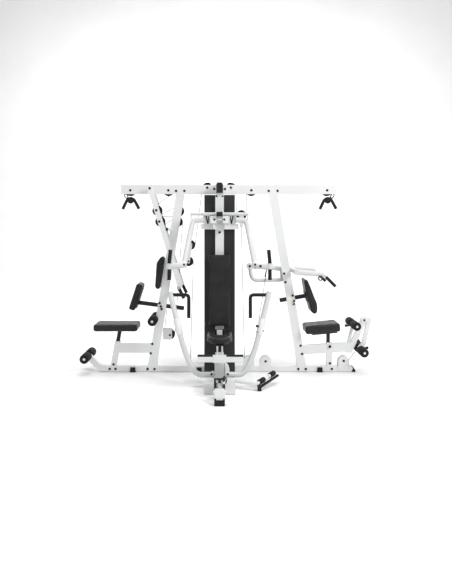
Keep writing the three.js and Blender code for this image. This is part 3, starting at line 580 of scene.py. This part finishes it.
floating_block(
    "right",
    [(196, 1612), (206, 1470), (238, 1470), (248, 1612), (236, 1622), (208, 1622)],
    (208, 236, -14, 14, 1470, 1482),
)
floating_block(
    "left",
    [(-316, 1306), (-336, 1118), (-326, 1104), (-304, 1106), (-278, 1300), (-290, 1314)],
    (-318, -298, -14, 14, 1204, 1216),
)
bolts("bolts_blocks", "frame", flat([(222, 1598), (-297, 1293), (-316, 1125)], -17.2), radius=8)


# ------------------------------------------------------------------ cables
def lay(start, wraps, end, arc=14):
    """Straight runs and arcs of a cable round pulleys: a list of ("run" or "arc", points)."""
    stops = [(start, 0.0, 1)] + list(wraps) + [(end, 0.0, 1)]
    legs = []
    for (a, ra, ta), (b, rb, tb) in zip(stops, stops[1:]):
        dx, dz = b[0] - a[0], b[1] - a[1]
        k = ra * ta - rb * tb
        run = math.sqrt(dx * dx + dz * dz - k * k)
        angle = math.atan2(dz, dx) + math.atan2(k, run)

        def touch(c, r, t):
            return (c[0] + r * t * math.sin(angle), c[1] - r * t * math.cos(angle))

        legs.append((touch(a, ra, ta), touch(b, rb, tb)))
    parts = []
    for i, (p, q) in enumerate(legs):
        if i:
            centre, radius, turn = stops[i]
            begin = math.atan2(legs[i - 1][1][1] - centre[1], legs[i - 1][1][0] - centre[0])
            finish = math.atan2(p[1] - centre[1], p[0] - centre[0])
            total = (turn * (finish - begin)) % (2 * math.pi) * turn
            points = []
            for j in range(arc + 1):
                angle = begin + total * j / arc
                points.append(
                    (centre[0] + radius * math.cos(angle), centre[1] + radius * math.sin(angle))
                )
            parts.append(("arc", points))
        parts.append(("run", [p, q]))
    return parts


CABLE_RADIUS = 3.0


def cable(name, body, points, replaces=()):
    shape = Shape().tube(points, CABLE_RADIUS, 0, 10)
    return shape.make(name, body, CABLE, replaces=replaces)


def chain(parts):
    """The points of some parts of a laid cable, end to end."""
    points = []
    for _, piece in parts:
        points += piece if not points else piece[1:]
    return points


row = lay(
    (-958, 1800),
    [
        (BEAM_PULLEYS[0], 50, -1),
        (BEAM_PULLEYS[1], 50, -1),
        (LEVER_PULLEYS[0], 50, 1),
        (UPRIGHT_PULLEYS[0], 50, -1),
        (LEVER_PULLEYS[1], 50, 1),
        (UPRIGHT_PULLEYS[1], 50, -1),
        (LOW_PULLEY, 54, -1),
    ],
    (-541, 630),
)


def subdivided(run, count=12):
    """The ends of a straight run and the points between them."""
    p, q = run
    return [tuple(p[i] + (q[i] - p[i]) * k / count for i in (0, 1)) for k in range(count + 1)]


def stretch(name, points, first, second, ends=(0, -1)):
    """A cable run, baked in place on no body; first, second and ends are not used."""
    piece = Shape().tube(points, CABLE_RADIUS, 0, 10).make(name, None, CABLE)
    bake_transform(piece)


# Row cable: a fixed length, then runs between frame and lever with an arc after each.
cable("cable_lat", "frame", flat(chain(row[:4])), replaces=["cable_row"])
for number in range(1, 5):
    first, second = ("frame", "row_arm") if number % 2 else ("row_arm", "frame")
    run = row[2 * number + 2][1]
    stretch(f"cable_row_{number}", flat(subdivided(run)), first, second)
    if number < 4:
        cable(f"cable_row_turn_{number}", second, flat(row[2 * number + 3][1]))
# The last length drifts back to the plane of the low pulley.
down = chain([row[11], ("run", subdivided(row[12][1], 30)), row[13], row[14]])
down = [(x, LOW_PULLEY_Y * min(1.0, max(0.0, (1478 - z) / 900.0)), z) for x, z in down]
cable("cable_row_down", "frame", down)

press = lay(
    (1144, 1800),
    [
        (BEAM_PULLEYS[5], 50, 1),
        (BEAM_PULLEYS[4], 50, 1),
        (FLOATING["right"], 50, -1),
        (BEAM_PULLEYS[3], 50, 1),
        (BEAM_PULLEYS[2], 50, 1),
        (FLOATING["left_upper"], 48, -1),
    ],
    (-345, 1330),
)
cable("cable_press_run", "frame", flat(chain(press)), replaces=["cable_press"])
snap_hook("snap_hook_low", "frame", (40, -1066, 196), 12, 1.35)
swivel = [(0, 12), (9, 12), (11, 9), (11, -9), (9, -12), (0, -12)]
swivel = Shape().lathe(swivel, (36, -1062, 152), (1, 0, 0.3), 28)
swivel.make("low_swivel", "frame", WHITE)
drop = lay((-366, 1085), [(FLOATING["left_lower"], 48, -1)], (-298, 66))
cable("cable_left_run", "frame", flat(chain(drop)), replaces=["cable_left_drop"])
dip = lay((483, 1030), [((296, 110), 42, -1)], (222, 1490))
fall = subdivided(dip[0][1], 24)
fall = [(x, LOW_PULLEY_Y * min(1, max(0, (z - 140) / 360)), z) for x, z in fall]
stretch("cable_dip_run", fall, "frame", "dip_arm", (-1, 0))
cable("cable_dip_rise", "frame", flat(chain(dip[1:])), replaces=["cable_dip"])
leg = lay((1405, 236), [((1262, 110), 42, -1)], (1216, 130))
stretch("cable_leg_run", flat(subdivided(leg[0][1])), "frame", "leg_arm", (-1, 0))
cable("cable_leg_turn", "frame", flat(chain(leg[1:])), replaces=["cable_leg"])

# ------------------------------------------------------------------ V handles
def v_handle(label, body, x, outward):
    """Two splayed bars off a round hub, and the snap hook on the outer shoulder."""
    bars = [(-80, 1657), (-36, 1752), (0, 1770), (34, 1756), (86, 1660)]
    shape = Shape()
    shape.tube([(x + dx, 0, z) for dx, z in bars], 15.5, 24, 28, 8)
    for end, way in ((bars[0], (-0.43, 0, -0.9)), (bars[-1], (0.47, 0, -0.88))):
        ring = [(14, -6), (17.4, -6), (18, -4), (17.4, -1), (14, -1)]
        shape.lathe(ring, (x + end[0], 0, end[1]), way, 28)
    hub = [(0, 14), (24, 13), (30, 10), (33, 4), (33, -4), (30, -10), (24, -13), (0, -14)]
    shape.lathe(hub, (x, 0, 1746), (0, 1, 0), 40)
    shape.make(f"handle_{label}_grip", body, RUBBER, replaces=[f"handle_{label}"])
    lug = [(4, 7), (10, 7), (10, -7), (4, -7)]
    lug = Shape().lathe(lug, (x + outward * 31, 0, 1768), (0, 1, 0), 28)
    lug.make(f"handle_{label}_lug", body, BLACK)
    snap_hook(f"snap_hook_{label}", "frame", (x + outward * 56, 0, 1806), -outward * 33, 1.4)


v_handle("left", "left_handle", -908, -1)
v_handle("right", "right_handle", 1104, 1)

# ------------------------------------------------------------------ press arm
shape = Shape()
shape.tube([(-100, -190, 1552), (100, -190, 1552)], 18, 0, 28)
shape.tube([(-290, -190, 1604), (290, -190, 1604)], 16, 0, 28)
shape.box(-29, 29, -262, -186, 1580, 1622)
hanger = [(-212, 1526), (-202, 1516), (-162, 1516), (-152, 1526), (-152, 1596), (-172, 1618)]
hanger += [(-204, 1618), (-212, 1608)]
collar = [(18.8, 26), (28, 26), (30, 24), (30, -25), (28, -27), (18.8, -27)]
sleeve = [(0, 29), (24, 29), (29, 26), (30.5, 20), (30.5, -20), (29, -26), (24, -29), (0, -29)]
for s in SIDES:
    for x in (99, 163, 277):
        shape.prism(hanger, "x", s * x - 4, s * x + 4)
    arm = [(160, -190, 1544), (262, -190, 1542), (284, -232, 1440), (334, -452, 1135)]
    arm += [(350, -482, 1112), (462, -500, 1108)]
    shape.tube([(s * x, y, z) for x, y, z in arm], 27, 50, 32, 10)
    shape.lathe(collar, (s * 473, -500, 1107), (0, 0, 1), 36)
    shape.lathe(sleeve, (s * 341, -466, 1120), (1, 0, 0), 32)
shape.make("press_arm_tubes", "press_arm", TUBE_WHITE_PAINTED_SHADE, 1.6, replaces=["press_yoke"])
cap = Shape().box(-31, 31, -270, -255, 1577, 1625)
cap.make("press_arm_cap", "press_arm", NYLON, 3.0)
bolts("bolts_press_arm", "press_arm", [(338, -497, 1121), (384, -515, 1108), (-338, -497, 1121)])

# Front faces of the press bearings.
shape = Shape()
face = [(93, 1508), (31, 1508), (31, 1578), (40, 1586), (84, 1586), (93, 1576)]
for s in SIDES:
    shape.prism([(s * x, z) for x, z in face], "y", -224, -213)
    shape.box(min(s * 31, s * 93), max(s * 31, s * 93), -224, -150.4, 1506, 1513)
shape.make("press_bearing_plates", "frame", WHITE, 1.4)

# Gusset plates of the press arm with V-shaped gaps between them.
GUSSETS = (
    [(162, 1500), (122, 1500), (143, 1590), (162, 1590)],
    [(128, 1590), (110, 1590), (118, 1540)],
    [(112, 1500), (95, 1500), (95, 1590), (97, 1590)],
)
shape = Shape()
for s in SIDES:
    for outline in GUSSETS:
        shape.prism([(s * x, z) for x, z in outline], "y", -157, -152)
    shape.box(min(s * 95, s * 162), max(s * 95, s * 162), -157, -152, 1586, 1592)
shape.make("press_gusset_plates", "press_arm", WHITE, 1.2)
bolts("bolts_press_bearings", "frame", flat([(-51, 1549), (46, 1549)], -224.2), radius=10)
bolts("bolts_mast", "frame", [(0, MAST_FACE, 1421)])


def grip_sleeve(name, body, points, radius, bend=0, replaces=()):
    """Ribbed rubber grip over a bar, with a flange at each end."""
    shape = Shape().tube(points, radius, bend, 24, 8)
    path = rounded(points, bend, 8)
    total = sum((b - a).length for a, b in zip(path, path[1:]))
    r = radius
    rib = [(r - 1, 2.2), (r + 0.9, 1.2), (r + 0.9, -1.2), (r - 1, -2.2)]
    flange = [(r - 2, 0.4), (r + 2.6, 0.4), (r + 3, 2), (r + 2.6, 4), (r - 2, 4)]
    mark, walked = 14.0, 0.0
    for a, b in zip(path, path[1:]):
        step = b - a
        while mark < walked + step.length and mark < total - 12:
            shape.lathe(rib, a + step * ((mark - walked) / step.length), step, 24)
            mark += 9.0
        walked += step.length
    for spot, way in ((path[0], path[1] - path[0]), (path[-1], path[-2] - path[-1])):
        shape.lathe(flange, spot, way, 28)
    return shape.make(name, body, RUBBER, replaces=replaces)


for s, label in SIDE_NAMES:
    name = f"press_sleeve_{label}"
    lower = [(s * 474, -500, 978), (s * 473.3, -500, 1082)]
    grip_sleeve(f"{name}_lower", "press_arm", lower, 17.6, 0, [f"press_grip_{label}"])
    upper = [(s * 473, -500, 1134), (s * 472, -500, 1160), (s * 462, -500, 1262)]
    grip_sleeve(f"{name}_upper", "press_arm", upper, 17.6, 20)

# ------------------------------------------------------------------ low arm
shape = Shape()
shape.tube([(-60, -600, 115), (60, -600, 115)], 13, 0, 24)
hub = [(0, 14), (24, 14), (29, 11), (30, 8), (30, -14), (0, -14)]
for s in SIDES:
    shape.lathe(hub, (s * 64, -600, 115), (s, 0, 0), 36)
    arm = [(62, -600, 112), (225, -600, 108), (330, -575, 330), (472, -450, 862)]
    shape.tube([(s * x, y, z) for x, y, z in arm], 26, 130, 32, 16)
shape.make("low_arm_tubes", "low_arm", TUBE_WHITE_PAINTED_SHADE, 1.2, replaces=["low_yoke"])
for s, label in SIDE_NAMES:
    grip = [(s * 442, -450, 832), (s * 292, -450, 832), (s * 292, -455, 613)]
    grip_sleeve(f"low_sleeve_{label}", "low_arm", grip, 16.5, 34)
    # Outer sleeve of the arm's telescoping joint.
    lower, upper = Vector((s * 368, -541, 470)), Vector((s * 406, -508, 612))
    way = upper - lower
    end = way.length
    sleeve = [(26.4, 0), (31, 0), (32.5, 3), (32.5, end - 3), (31, end), (26.4, end)]
    sleeve = Shape().lathe(sleeve, lower, way, 36)
    sleeve.make(f"low_arm_sleeve_{label}", "low_arm", WHITE, 1.0)
bolts("bolts_low_arm", "low_arm", [(-74, -628, 122), (76, -628, 122)], radius=10)
bolts("bolts_sleeve", "low_arm", [(360, -558, 497), (408, -540, 505), (400, -536, 546)], radius=9)
knob("sleeve_knob", "low_arm", (362, -552, 548), (-0.75, -0.5, 0.35), 13, 26)

# ------------------------------------------------------------------ row arm
bolts("bolts_row_arm", "row_arm", flat([(-700, 1863), (-634, 1642), (-604, 1530)], -126.3))
for s, label in DEPTH_NAMES:
    grip = [(-396, s * 250, 871), (-350, s * 250, 776)]
    grip_sleeve(f"row_sleeve_{label}", "row_arm", grip, 16.6)
    ring = [(9, 3), (17, 3), (18.5, 1), (18.5, -6), (17, -8), (9, -8)]
    ring = Shape().lathe(ring, (-400, s * 270, 880), (0, s, 0), 32)
    ring.make(f"row_ring_{label}", "row_arm", STEEL)
stop = [(0, 24), (13, 24), (16, 21), (17, 12), (15, 3), (15, 0.3), (0, 0.3)]
stop = Shape().lathe(stop, (-522, -40, 1452), (-1, 0, 0), 28)
stop.make("row_stop", "frame", RUBBER)
stop = Shape().box(-522, -478, -58, -25.4, 1436, 1468)
stop.make("row_stop_bracket", "frame", WHITE, 2.0)

# ------------------------------------------------------------------ dip arm
shape = Shape()
washer = [(0, 5), (31, 5), (34, 2.5), (34, -2.5), (31, -5), (0, -5)]
for y in (28, 76):
    shape.lathe(washer, (310, y, 1073), (0, 1, 0), 40)
shape.tube([(310, 55, 1073), (752, 55, 1035)], 24, 0, 32)
shape.tube([(312, 55, 1060), (335, 55, 925), (640, 55, 930)], 20, 160, 28, 18)
shape.prism([(625, 915), (680, 915), (690, 1042), (620, 1050)], "y", 41, 69)
shape.lathe([(0, 26), (25, 26), (28, 23), (28, -27), (0, -27)], (652, 53, 998), (0, 1, 0), 40)
shape.tube([(752, -317, 1035), (752, 317, 1035)], 27, 0, 36)
for s in SIDES:
    shape.tube([(752, s * 290, 1035), (1012, s * 290, 1014)], 27, 0, 32)
    shape.tube([(1006, s * 290, 1020), (1040, s * 290, 986)], 13, 0, 24)
shape.make("dip_arm_tubes", "dip_arm", TUBE_WHITE_PAINTED_SHADE, 1.2, replaces=["dip_lever"])
bolts("bolts_dip_arm", "dip_arm", [(310, 22.8, 1073), (365, 30.5, 1060)])
for s, label in DEPTH_NAMES:
    grip = [(1036, s * 290, 990), (1129, s * 290, 897)]
    grip_sleeve(f"dip_sleeve_{label}", "dip_arm", grip, 15)
ring = [(13, 4), (22, 4), (24, 1), (24, -8), (22, -10), (13, -10)]
ring = Shape().lathe(ring, (979, -321, 977), (0, -1, 0), 32)
ring.make("dip_ring", "dip_arm", BLACK)
sheath = Shape().tube([(480, 28, 1034), (465, 28, 958)], 6.0, 0, 10)
sheath.make("cable_dip_sleeve", "dip_arm", RUBBER)

# ------------------------------------------------------------------ leg arm
bolts("bolts_leg_arm", "leg_arm", [(1470, -33.3, 528)], radius=11)
knob("leg_knob_1", "frame", (1316, -20, 470), (-1, -0.1, 0.08), 15, 42)
knob("leg_knob_2", "leg_arm", (1434, -12, 294), (-0.75, -0.1, 0.66), 17, 44)
knob("leg_knob_3", "leg_arm", (1480, -8, 246), (1, -0.1, -0.1), 15, 36)


# ------------------------------------------------------------------ foam rollers
def roller_pair(name, body, x, z, radius, replaced):
    """Two foam rollers on an axle along Y, each with a black cap and a grey plug."""
    near, far = 34, 200
    centre, axis, r = (x, 0, z), (0, 1, 0), radius
    foam_profile = [(10, near), (r - 6, near), (r - 2, near + 2), (r, near + 7), (r, far - 8)]
    foam_profile += [(r - 2, far - 2.5), (r - 6, far), (r * 0.48, far), (r * 0.46, far - 4)]
    foam_profile += [(10, far - 4)]
    cap = [(r * 0.30, far + 5), (r * 0.42, far + 3), (r * 0.44, far - 3.6), (r * 0.30, far - 3.6)]
    plug = [(0, far + 8), (r * 0.16, far + 8), (r * 0.22, far + 5.4), (r * 0.28, far + 4)]
    plug += [(r * 0.28, far - 2), (0, far - 2)]
    shape = Shape()
    for s in SIDES:
        way = (0, s, 0)
        shape.paint(0).lathe(foam_profile, centre, way, 48)
        shape.paint(2).lathe(cap, centre, way, 36)
        shape.paint(1).lathe(plug, centre, way, 36)
    shape.lathe([(0, near), (9.6, near), (9.6, -near), (0, -near)], centre, axis, 24)
    shape.make(name, body, [FOAM, CAP_GREY, NYLON], replaces=[replaced])


roller_pair("foot_foam", "foot_rollers", -1341, 165, 46, "rollers_foot_left")
roller_pair("thigh_foam", "thigh_rollers", -668, 538, 46, "rollers_thigh_left")
roller_pair("knee_foam", "knee_rollers", 1361, 488, 42, "rollers_knee_right")
roller_pair("ankle_foam", "ankle_rollers", 1435, 226, 44, "rollers_ankle_right")

# Foot brace: its rod with two foam rollers and white collars, and a black tread bar.
BRACE = (Vector((342, -745, 66)), Vector((517, -445, 92)))
way = BRACE[1] - BRACE[0]
shape = Shape()
for a, b in ((0.07, 0.36), (0.7, 0.99)):
    a, b = a * way.length, b * way.length
    profile = [(14.6, a), (21, a), (24, a + 2.5), (25, a + 7), (25, b - 7), (24, b - 2.5)]
    shape.lathe(profile + [(21, b), (14.6, b)], BRACE[0], way, 44)
for a, b, r in ((0.365, 0.57, 19), (0.62, 0.69, 20)):
    a, b = a * way.length, b * way.length
    profile = [(14.6, a), (r - 1.5, a), (r, a + 1.5), (r, b - 1.5), (r - 1.5, b), (14.6, b)]
    shape.paint(1).lathe(profile, BRACE[0], way, 36)
shape.make("brace_foam", "brace_rollers", [FOAM, WHITE], replaces=["rollers_brace"])
shape = Shape()
elbow = (336, -745, 62)
shape.tube([(139.4, -653, 78.5), elbow], 24, 0, 36)
shape.tube([tuple(BRACE[0] - way * 0.03), tuple(BRACE[1])], 14, 0, 28)
cap = [(0, 5), (17, 5), (21, 3), (22, 0), (22, -6), (0, -6)]
shape.lathe(cap, elbow, (0.907, -0.417, -0.06), 36)
shape.make("brace_tubes", "frame", WHITE, 1.2, replaces=["foot_brace"])
tread = Shape().tube([(368, -742, 34), (553, -446, 68)], 12.5, 0, 24)
tread.make("brace_tread", "frame", RUBBER)
foot = [(343, 0), (377, 0), (374, 46), (368, 54), (348, 54), (341, 46)]
Shape().prism(foot, "y", -768, -730).make("brace_foot", "frame", RUBBER, 4.0)


# ------------------------------------------------------------------ pads
SWELL_FRAMES = 20


def swell(piece, cap):
    """Inflate a pad with a short cloth run, holding each point within cap metres of its start."""
    rest = [v.co.copy() for v in piece.data.vertices]
    modifier = piece.modifiers.new("cloth", "CLOTH")
    modifier.settings.use_pressure = True
    modifier.settings.uniform_pressure_force = 4.0
    modifier.settings.tension_stiffness = 18
    modifier.settings.compression_stiffness = 18
    modifier.settings.bending_stiffness = 1.2
    modifier.settings.effector_weights.gravity = 0
    modifier.settings.quality = 4
    modifier.point_cache.frame_start = 1
    modifier.point_cache.frame_end = SWELL_FRAMES
    scene = bpy.context.scene
    for step in range(1, SWELL_FRAMES + 1):
        scene.frame_set(step)
    swollen = piece.evaluated_get(bpy.context.evaluated_depsgraph_get())
    moved = [v.co.copy() for v in swollen.data.vertices]
    piece.modifiers.remove(modifier)
    for vertex, start, end in zip(piece.data.vertices, rest, moved):
        step = end - start
        vertex.co = start + step * min(1.0, cap / max(step.length, 1e-9))
    scene.frame_set(1)


def smooth_mesh(piece, rounds):
    mesh = bmesh.new()
    mesh.from_mesh(piece.data)
    for _ in range(rounds):
        bmesh.ops.smooth_vert(
            mesh, verts=mesh.verts, factor=0.5, use_axis_x=True, use_axis_y=True, use_axis_z=True
        )
    mesh.to_mesh(piece.data)
    mesh.free()


def inset_outline(outline, amount):
    """The outline moved inwards along its corner bisectors."""
    n = len(outline)
    area = sum(
        outline[i][0] * outline[(i + 1) % n][1] - outline[(i + 1) % n][0] * outline[i][1]
        for i in range(n)
    )
    turn = 1 if area > 0 else -1
    out = []
    for i in range(n):
        a, b, c = (Vector(outline[(i + k) % n]) for k in (-1, 0, 1))
        d1, d2 = (b - a).normalized(), (c - b).normalized()
        n1, n2 = Vector((-d1.y, d1.x)) * turn, Vector((-d2.y, d2.x)) * turn
        bisector = (n1 + n2).normalized()
        out.append(tuple(b + bisector * (amount / max(0.5, bisector.dot(n1)))))
    return out


def round_outline(outline, bend, steps=6):
    """The closed outline with every corner curved."""
    path = [Vector((a, b, 0)) for a, b in outline]
    n = len(path)
    out = []
    for i in range(n):
        back, ahead = path[i - 1] - path[i], path[(i + 1) % n] - path[i]
        reach = min(bend, back.length * 0.48, ahead.length * 0.48)
        a, b = path[i] + back.normalized() * reach, path[i] + ahead.normalized() * reach
        for k in range(steps + 1):
            t = k / steps
            p = a * (1 - t) ** 2 + path[i] * 2 * t * (1 - t) + b * t * t
            out.append((p.x, p.y))
    return out


def pad(
    name, body, outline, axis, span, replaced, turn=None, cap=8.0, inset=5.0, corner=16, piping=0.16
):
    """A stuffed pad: a rounded prism, remeshed, swollen by cloth, with piping laid on it.

    span is the pad's extent along axis; turn is a point, an angle and an axis; piping is the
    share of the span at which the two piped seams run.
    """
    low, high = span
    inner = round_outline(inset_outline(outline, inset), corner)
    shape = Shape().prism(inner, axis, low + inset, high - inset)
    piece = shape.make(name, None, VINYL)
    placed = Matrix.Identity(4)
    if turn:
        centre, angle, spin_axis = at(*turn[0]), math.radians(turn[1]), turn[2]
        placed = Matrix.Translation(centre) @ Matrix.Rotation(angle, 4, spin_axis)
        placed = placed @ Matrix.Translation(-centre)
        piece.data.transform(placed)
    bpy.context.view_layer.objects.active = piece
    modifier = piece.modifiers.new("remesh", "REMESH")
    modifier.mode = "VOXEL"
    modifier.voxel_size = 0.006
    graph = bpy.context.evaluated_depsgraph_get()
    data = bpy.data.meshes.new_from_object(piece.evaluated_get(graph))
    piece.modifiers.remove(modifier)
    piece.data = data
    smooth_mesh(piece, 3)
    swell(piece, cap / 1000.0)
    smooth_mesh(piece, 1)
    piece.data.shade_smooth()
    piece.data.materials.clear()
    piece.data.materials.append(VINYL)
    division = piece.modifiers.new("smooth", "SUBSURF")
    division.levels = division.render_levels = 1
    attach(piece, body)
    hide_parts(replaced)
    for number, share in ((1, piping), (2, 1 - piping)):
        height = low + (high - low) * share
        seam(f"{name}_seam_{number}", body, piece, outline, axis, height, placed)


def seam(name, body, piece, outline, axis, height, placed):
    """Piping round the pad at a height along its axis, drawn in to the swollen surface."""
    place = place_on(axis)
    ring = round_outline(inset_outline(outline, -10), 10, 10)
    mesh = piece.data
    tree = BVHTree.FromPolygons([v.co for v in mesh.vertices], [p.vertices for p in mesh.polygons])
    path = []
    for p, q in zip(ring, ring[1:] + ring[:1]):
        for k in range(3):
            spot = place(p[0] + (q[0] - p[0]) * k / 3, p[1] + (q[1] - p[1]) * k / 3, height)
            path.append(tree.find_nearest(placed @ at(*spot))[0])
    ring_tube(name, body, path)


def ring_tube(name, body, path):
    """A closed thin vinyl tube through points in metres."""
    radius, sides = 0.0021, 8
    kept = [path[0]]
    for p in path[1:]:
        if (p - kept[-1]).length > 0.004:
            kept.append(p)
    if (kept[-1] - kept[0]).length < 0.004:
        kept.pop()
    for _ in range(2):
        n = len(kept)
        kept = [(kept[i - 1] + kept[i] * 2 + kept[(i + 1) % n]) / 4 for i in range(n)]
    mesh = bmesh.new()
    n = len(kept)
    side = (kept[1] - kept[0]).orthogonal().normalized()
    rings = []
    for i in range(n):
        way = (kept[(i + 1) % n] - kept[i - 1]).normalized()
        side = (side - way * side.dot(way)).normalized()
        other = way.cross(side)
        ring = []
        for k in range(sides):
            turn = 2 * math.pi * k / sides
            spoke = side * math.cos(turn) + other * math.sin(turn)
            ring.append(mesh.verts.new(kept[i] + spoke * radius))
        rings.append(ring)
    for i in range(n - 1):
        a, b = rings[i], rings[i + 1]
        for k in range(sides):
            mesh.faces.new([a[k], a[(k + 1) % sides], b[(k + 1) % sides], b[k]])
    first, last = rings[0], rings[-1]
    shift = min(range(sides), key=lambda k: (last[0].co - first[k].co).length)
    for k in range(sides):
        a, b = (k + shift) % sides, (k + 1 + shift) % sides
        mesh.faces.new([last[k], last[(k + 1) % sides], first[b], first[a]])
    bmesh.ops.recalc_face_normals(mesh, faces=mesh.faces)
    data = bpy.data.meshes.new(name)
    mesh.to_mesh(data)
    mesh.free()
    data.materials.append(VINYL)
    data.shade_smooth()
    piece = add_object(name, data)
    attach(piece, body)


half = [(-48, -400), (-48, -160), (-130, -160), (-130, -450), (-108, -540), (-66, -600)]
half += [(-20, -622)]
notched = half + [(-x, y) for x, y in reversed(half)]
lean_back = [(842, 955), (878, 957), (930, 830), (978, 700), (984, 612), (950, 591)]
lean_back += [(925, 610), (900, 700), (872, 800)]
lumbar = [(-594, 1186), (-554, 1186), (-602, 838), (-624, 838), (-654, 852), (-636, 1112)]
SEAT_PAD = {"inset": 2, "corner": 28}

upright_pad = rectangle(-116, 116, 478, 1210)
pad("front_back_cushion", "frame", upright_pad, "y", (-178, -118), "front_back_pad")
pad("front_seat_cushion", "frame", notched, "z", (386, 446), "front_seat")
long_seat = rectangle(-1272, -814, -151, 151)
pad("left_seat_cushion", "left_seat", long_seat, "z", (434, 494), "seat_left", **SEAT_PAD)
short_seat = rectangle(852, 1217, -151, 151)
tilt = ((1034, 0, 454.5), -5.3, "Y")
pad("right_seat_cushion", "right_seat", short_seat, "z", (418, 492), "seat_right", tilt, **SEAT_PAD)
chest = rectangle(-125, 125, 626, 916)
tilt = ((-843, 0, 771), 18, "Y")
pad("chest_cushion", "chest_support", chest, "x", (-873, -813), "chest_pad", tilt)
span = (-130, 130)
back = {"cap": 6.0, "piping": 0.06}
pad("right_back_cushion", "right_back_support", lean_back, "y", span, "back_pad_right", **back)
pad("lumbar_cushion", "frame", lumbar, "y", (-92, 92), "lumbar_pad", cap=6.0, piping=0.08)

# Parts of the front seat's frame that show: the square end of its slide, and two rods below.
slide = Shape()
slide.box(-27, 27, -240, -214.4, 410, 462)
slide.box(-20, 20, -242, -239, 417, 455)
slide.make("front_seat_slide", "frame", WHITE, 2.0)
rods = Shape()
for x in (-20, 24):
    rods.tube([(x, -600, 228), (x, -600, 380)], 7.8, 0, 20)
rods.make("front_seat_rods", "frame", CHROME)

# Foot rest: black non-slip strips along the top, and the saddle foot by the mast.
strips = Shape()
for x0, x1 in ((-197, -61), (61, 213)):
    strips.box(x0, x1, -817, -773, 321, 331)
    for k in range(7):
        y = -812 + 5.6 * k
        strips.box(x0 + 2, x1 - 2, y, y + 3, 330, 333)
strips.make("foot_rest_grip", "frame", RUBBER, 1.0)
cheek = [(-237, 0), (-179, 0), (-185, 48), (-231, 48)]
foot = Shape().prism(cheek, "y", -42, -25.6).prism(cheek, "y", 25.6, 42)
foot.box(-237, -179, -42, 42, 0, 3.6)
foot.make("foot_centre", "frame", RUBBER, 2.0)

# End caps of the base and the crossbeam.
wedge = [(1340, 2), (1382, 2), (1382, 18), (1352, 62), (1343, 62), (1356, 40)]
cap = Shape().prism(wedge, "y", -27, 27)
cap.make("cap_base_right", "frame", NYLON, 2.0)
for label, x in (("left", -1005), ("right", 1186.6)):
    cap = Shape().box(x, x + 3.4, -27, 27, 1807, 1905)
    cap.make(f"cap_beam_{label}", "frame", CAP_GREY, 1.0)

# ------------------------------------------------------------------ floor
# A floor that curves up into a wall behind, in metres.
CURVE_START, CURVE_RADIUS, WALL, HALF_WIDTH = 4.0, 2.0, 6.05, 14
floor = bmesh.new()
section = [(-9.0, 0.0), (CURVE_START, 0.0)]
for angle in (0.2, 0.5, 0.8, 1.1, 1.4):
    rise = CURVE_RADIUS * (1 - math.cos(angle))
    section.append((CURVE_START + CURVE_RADIUS * math.sin(angle), rise))
section += [(WALL, 2.4), (WALL, 7.0)]
rows = [[floor.verts.new((x, y, z)) for x in (-HALF_WIDTH, HALF_WIDTH)] for y, z in section]
for a, b in zip(rows, rows[1:]):
    floor.faces.new([a[0], a[1], b[1], b[0]])
data = bpy.data.meshes.new("floor")
floor.to_mesh(data)
floor.free()
data.shade_smooth()
material, tree, bsdf, where = shader("studio_floor", (0.93, 0.93, 0.93), 0.85)
patches = ramp(tree, noise(tree, where, 1.5), 0.0, 1.0)
tint(tree, bsdf, patches, (0.92, 0.92, 0.92), (0.95, 0.95, 0.95))
data.materials.append(material)
backdrop = add_object("floor", data)
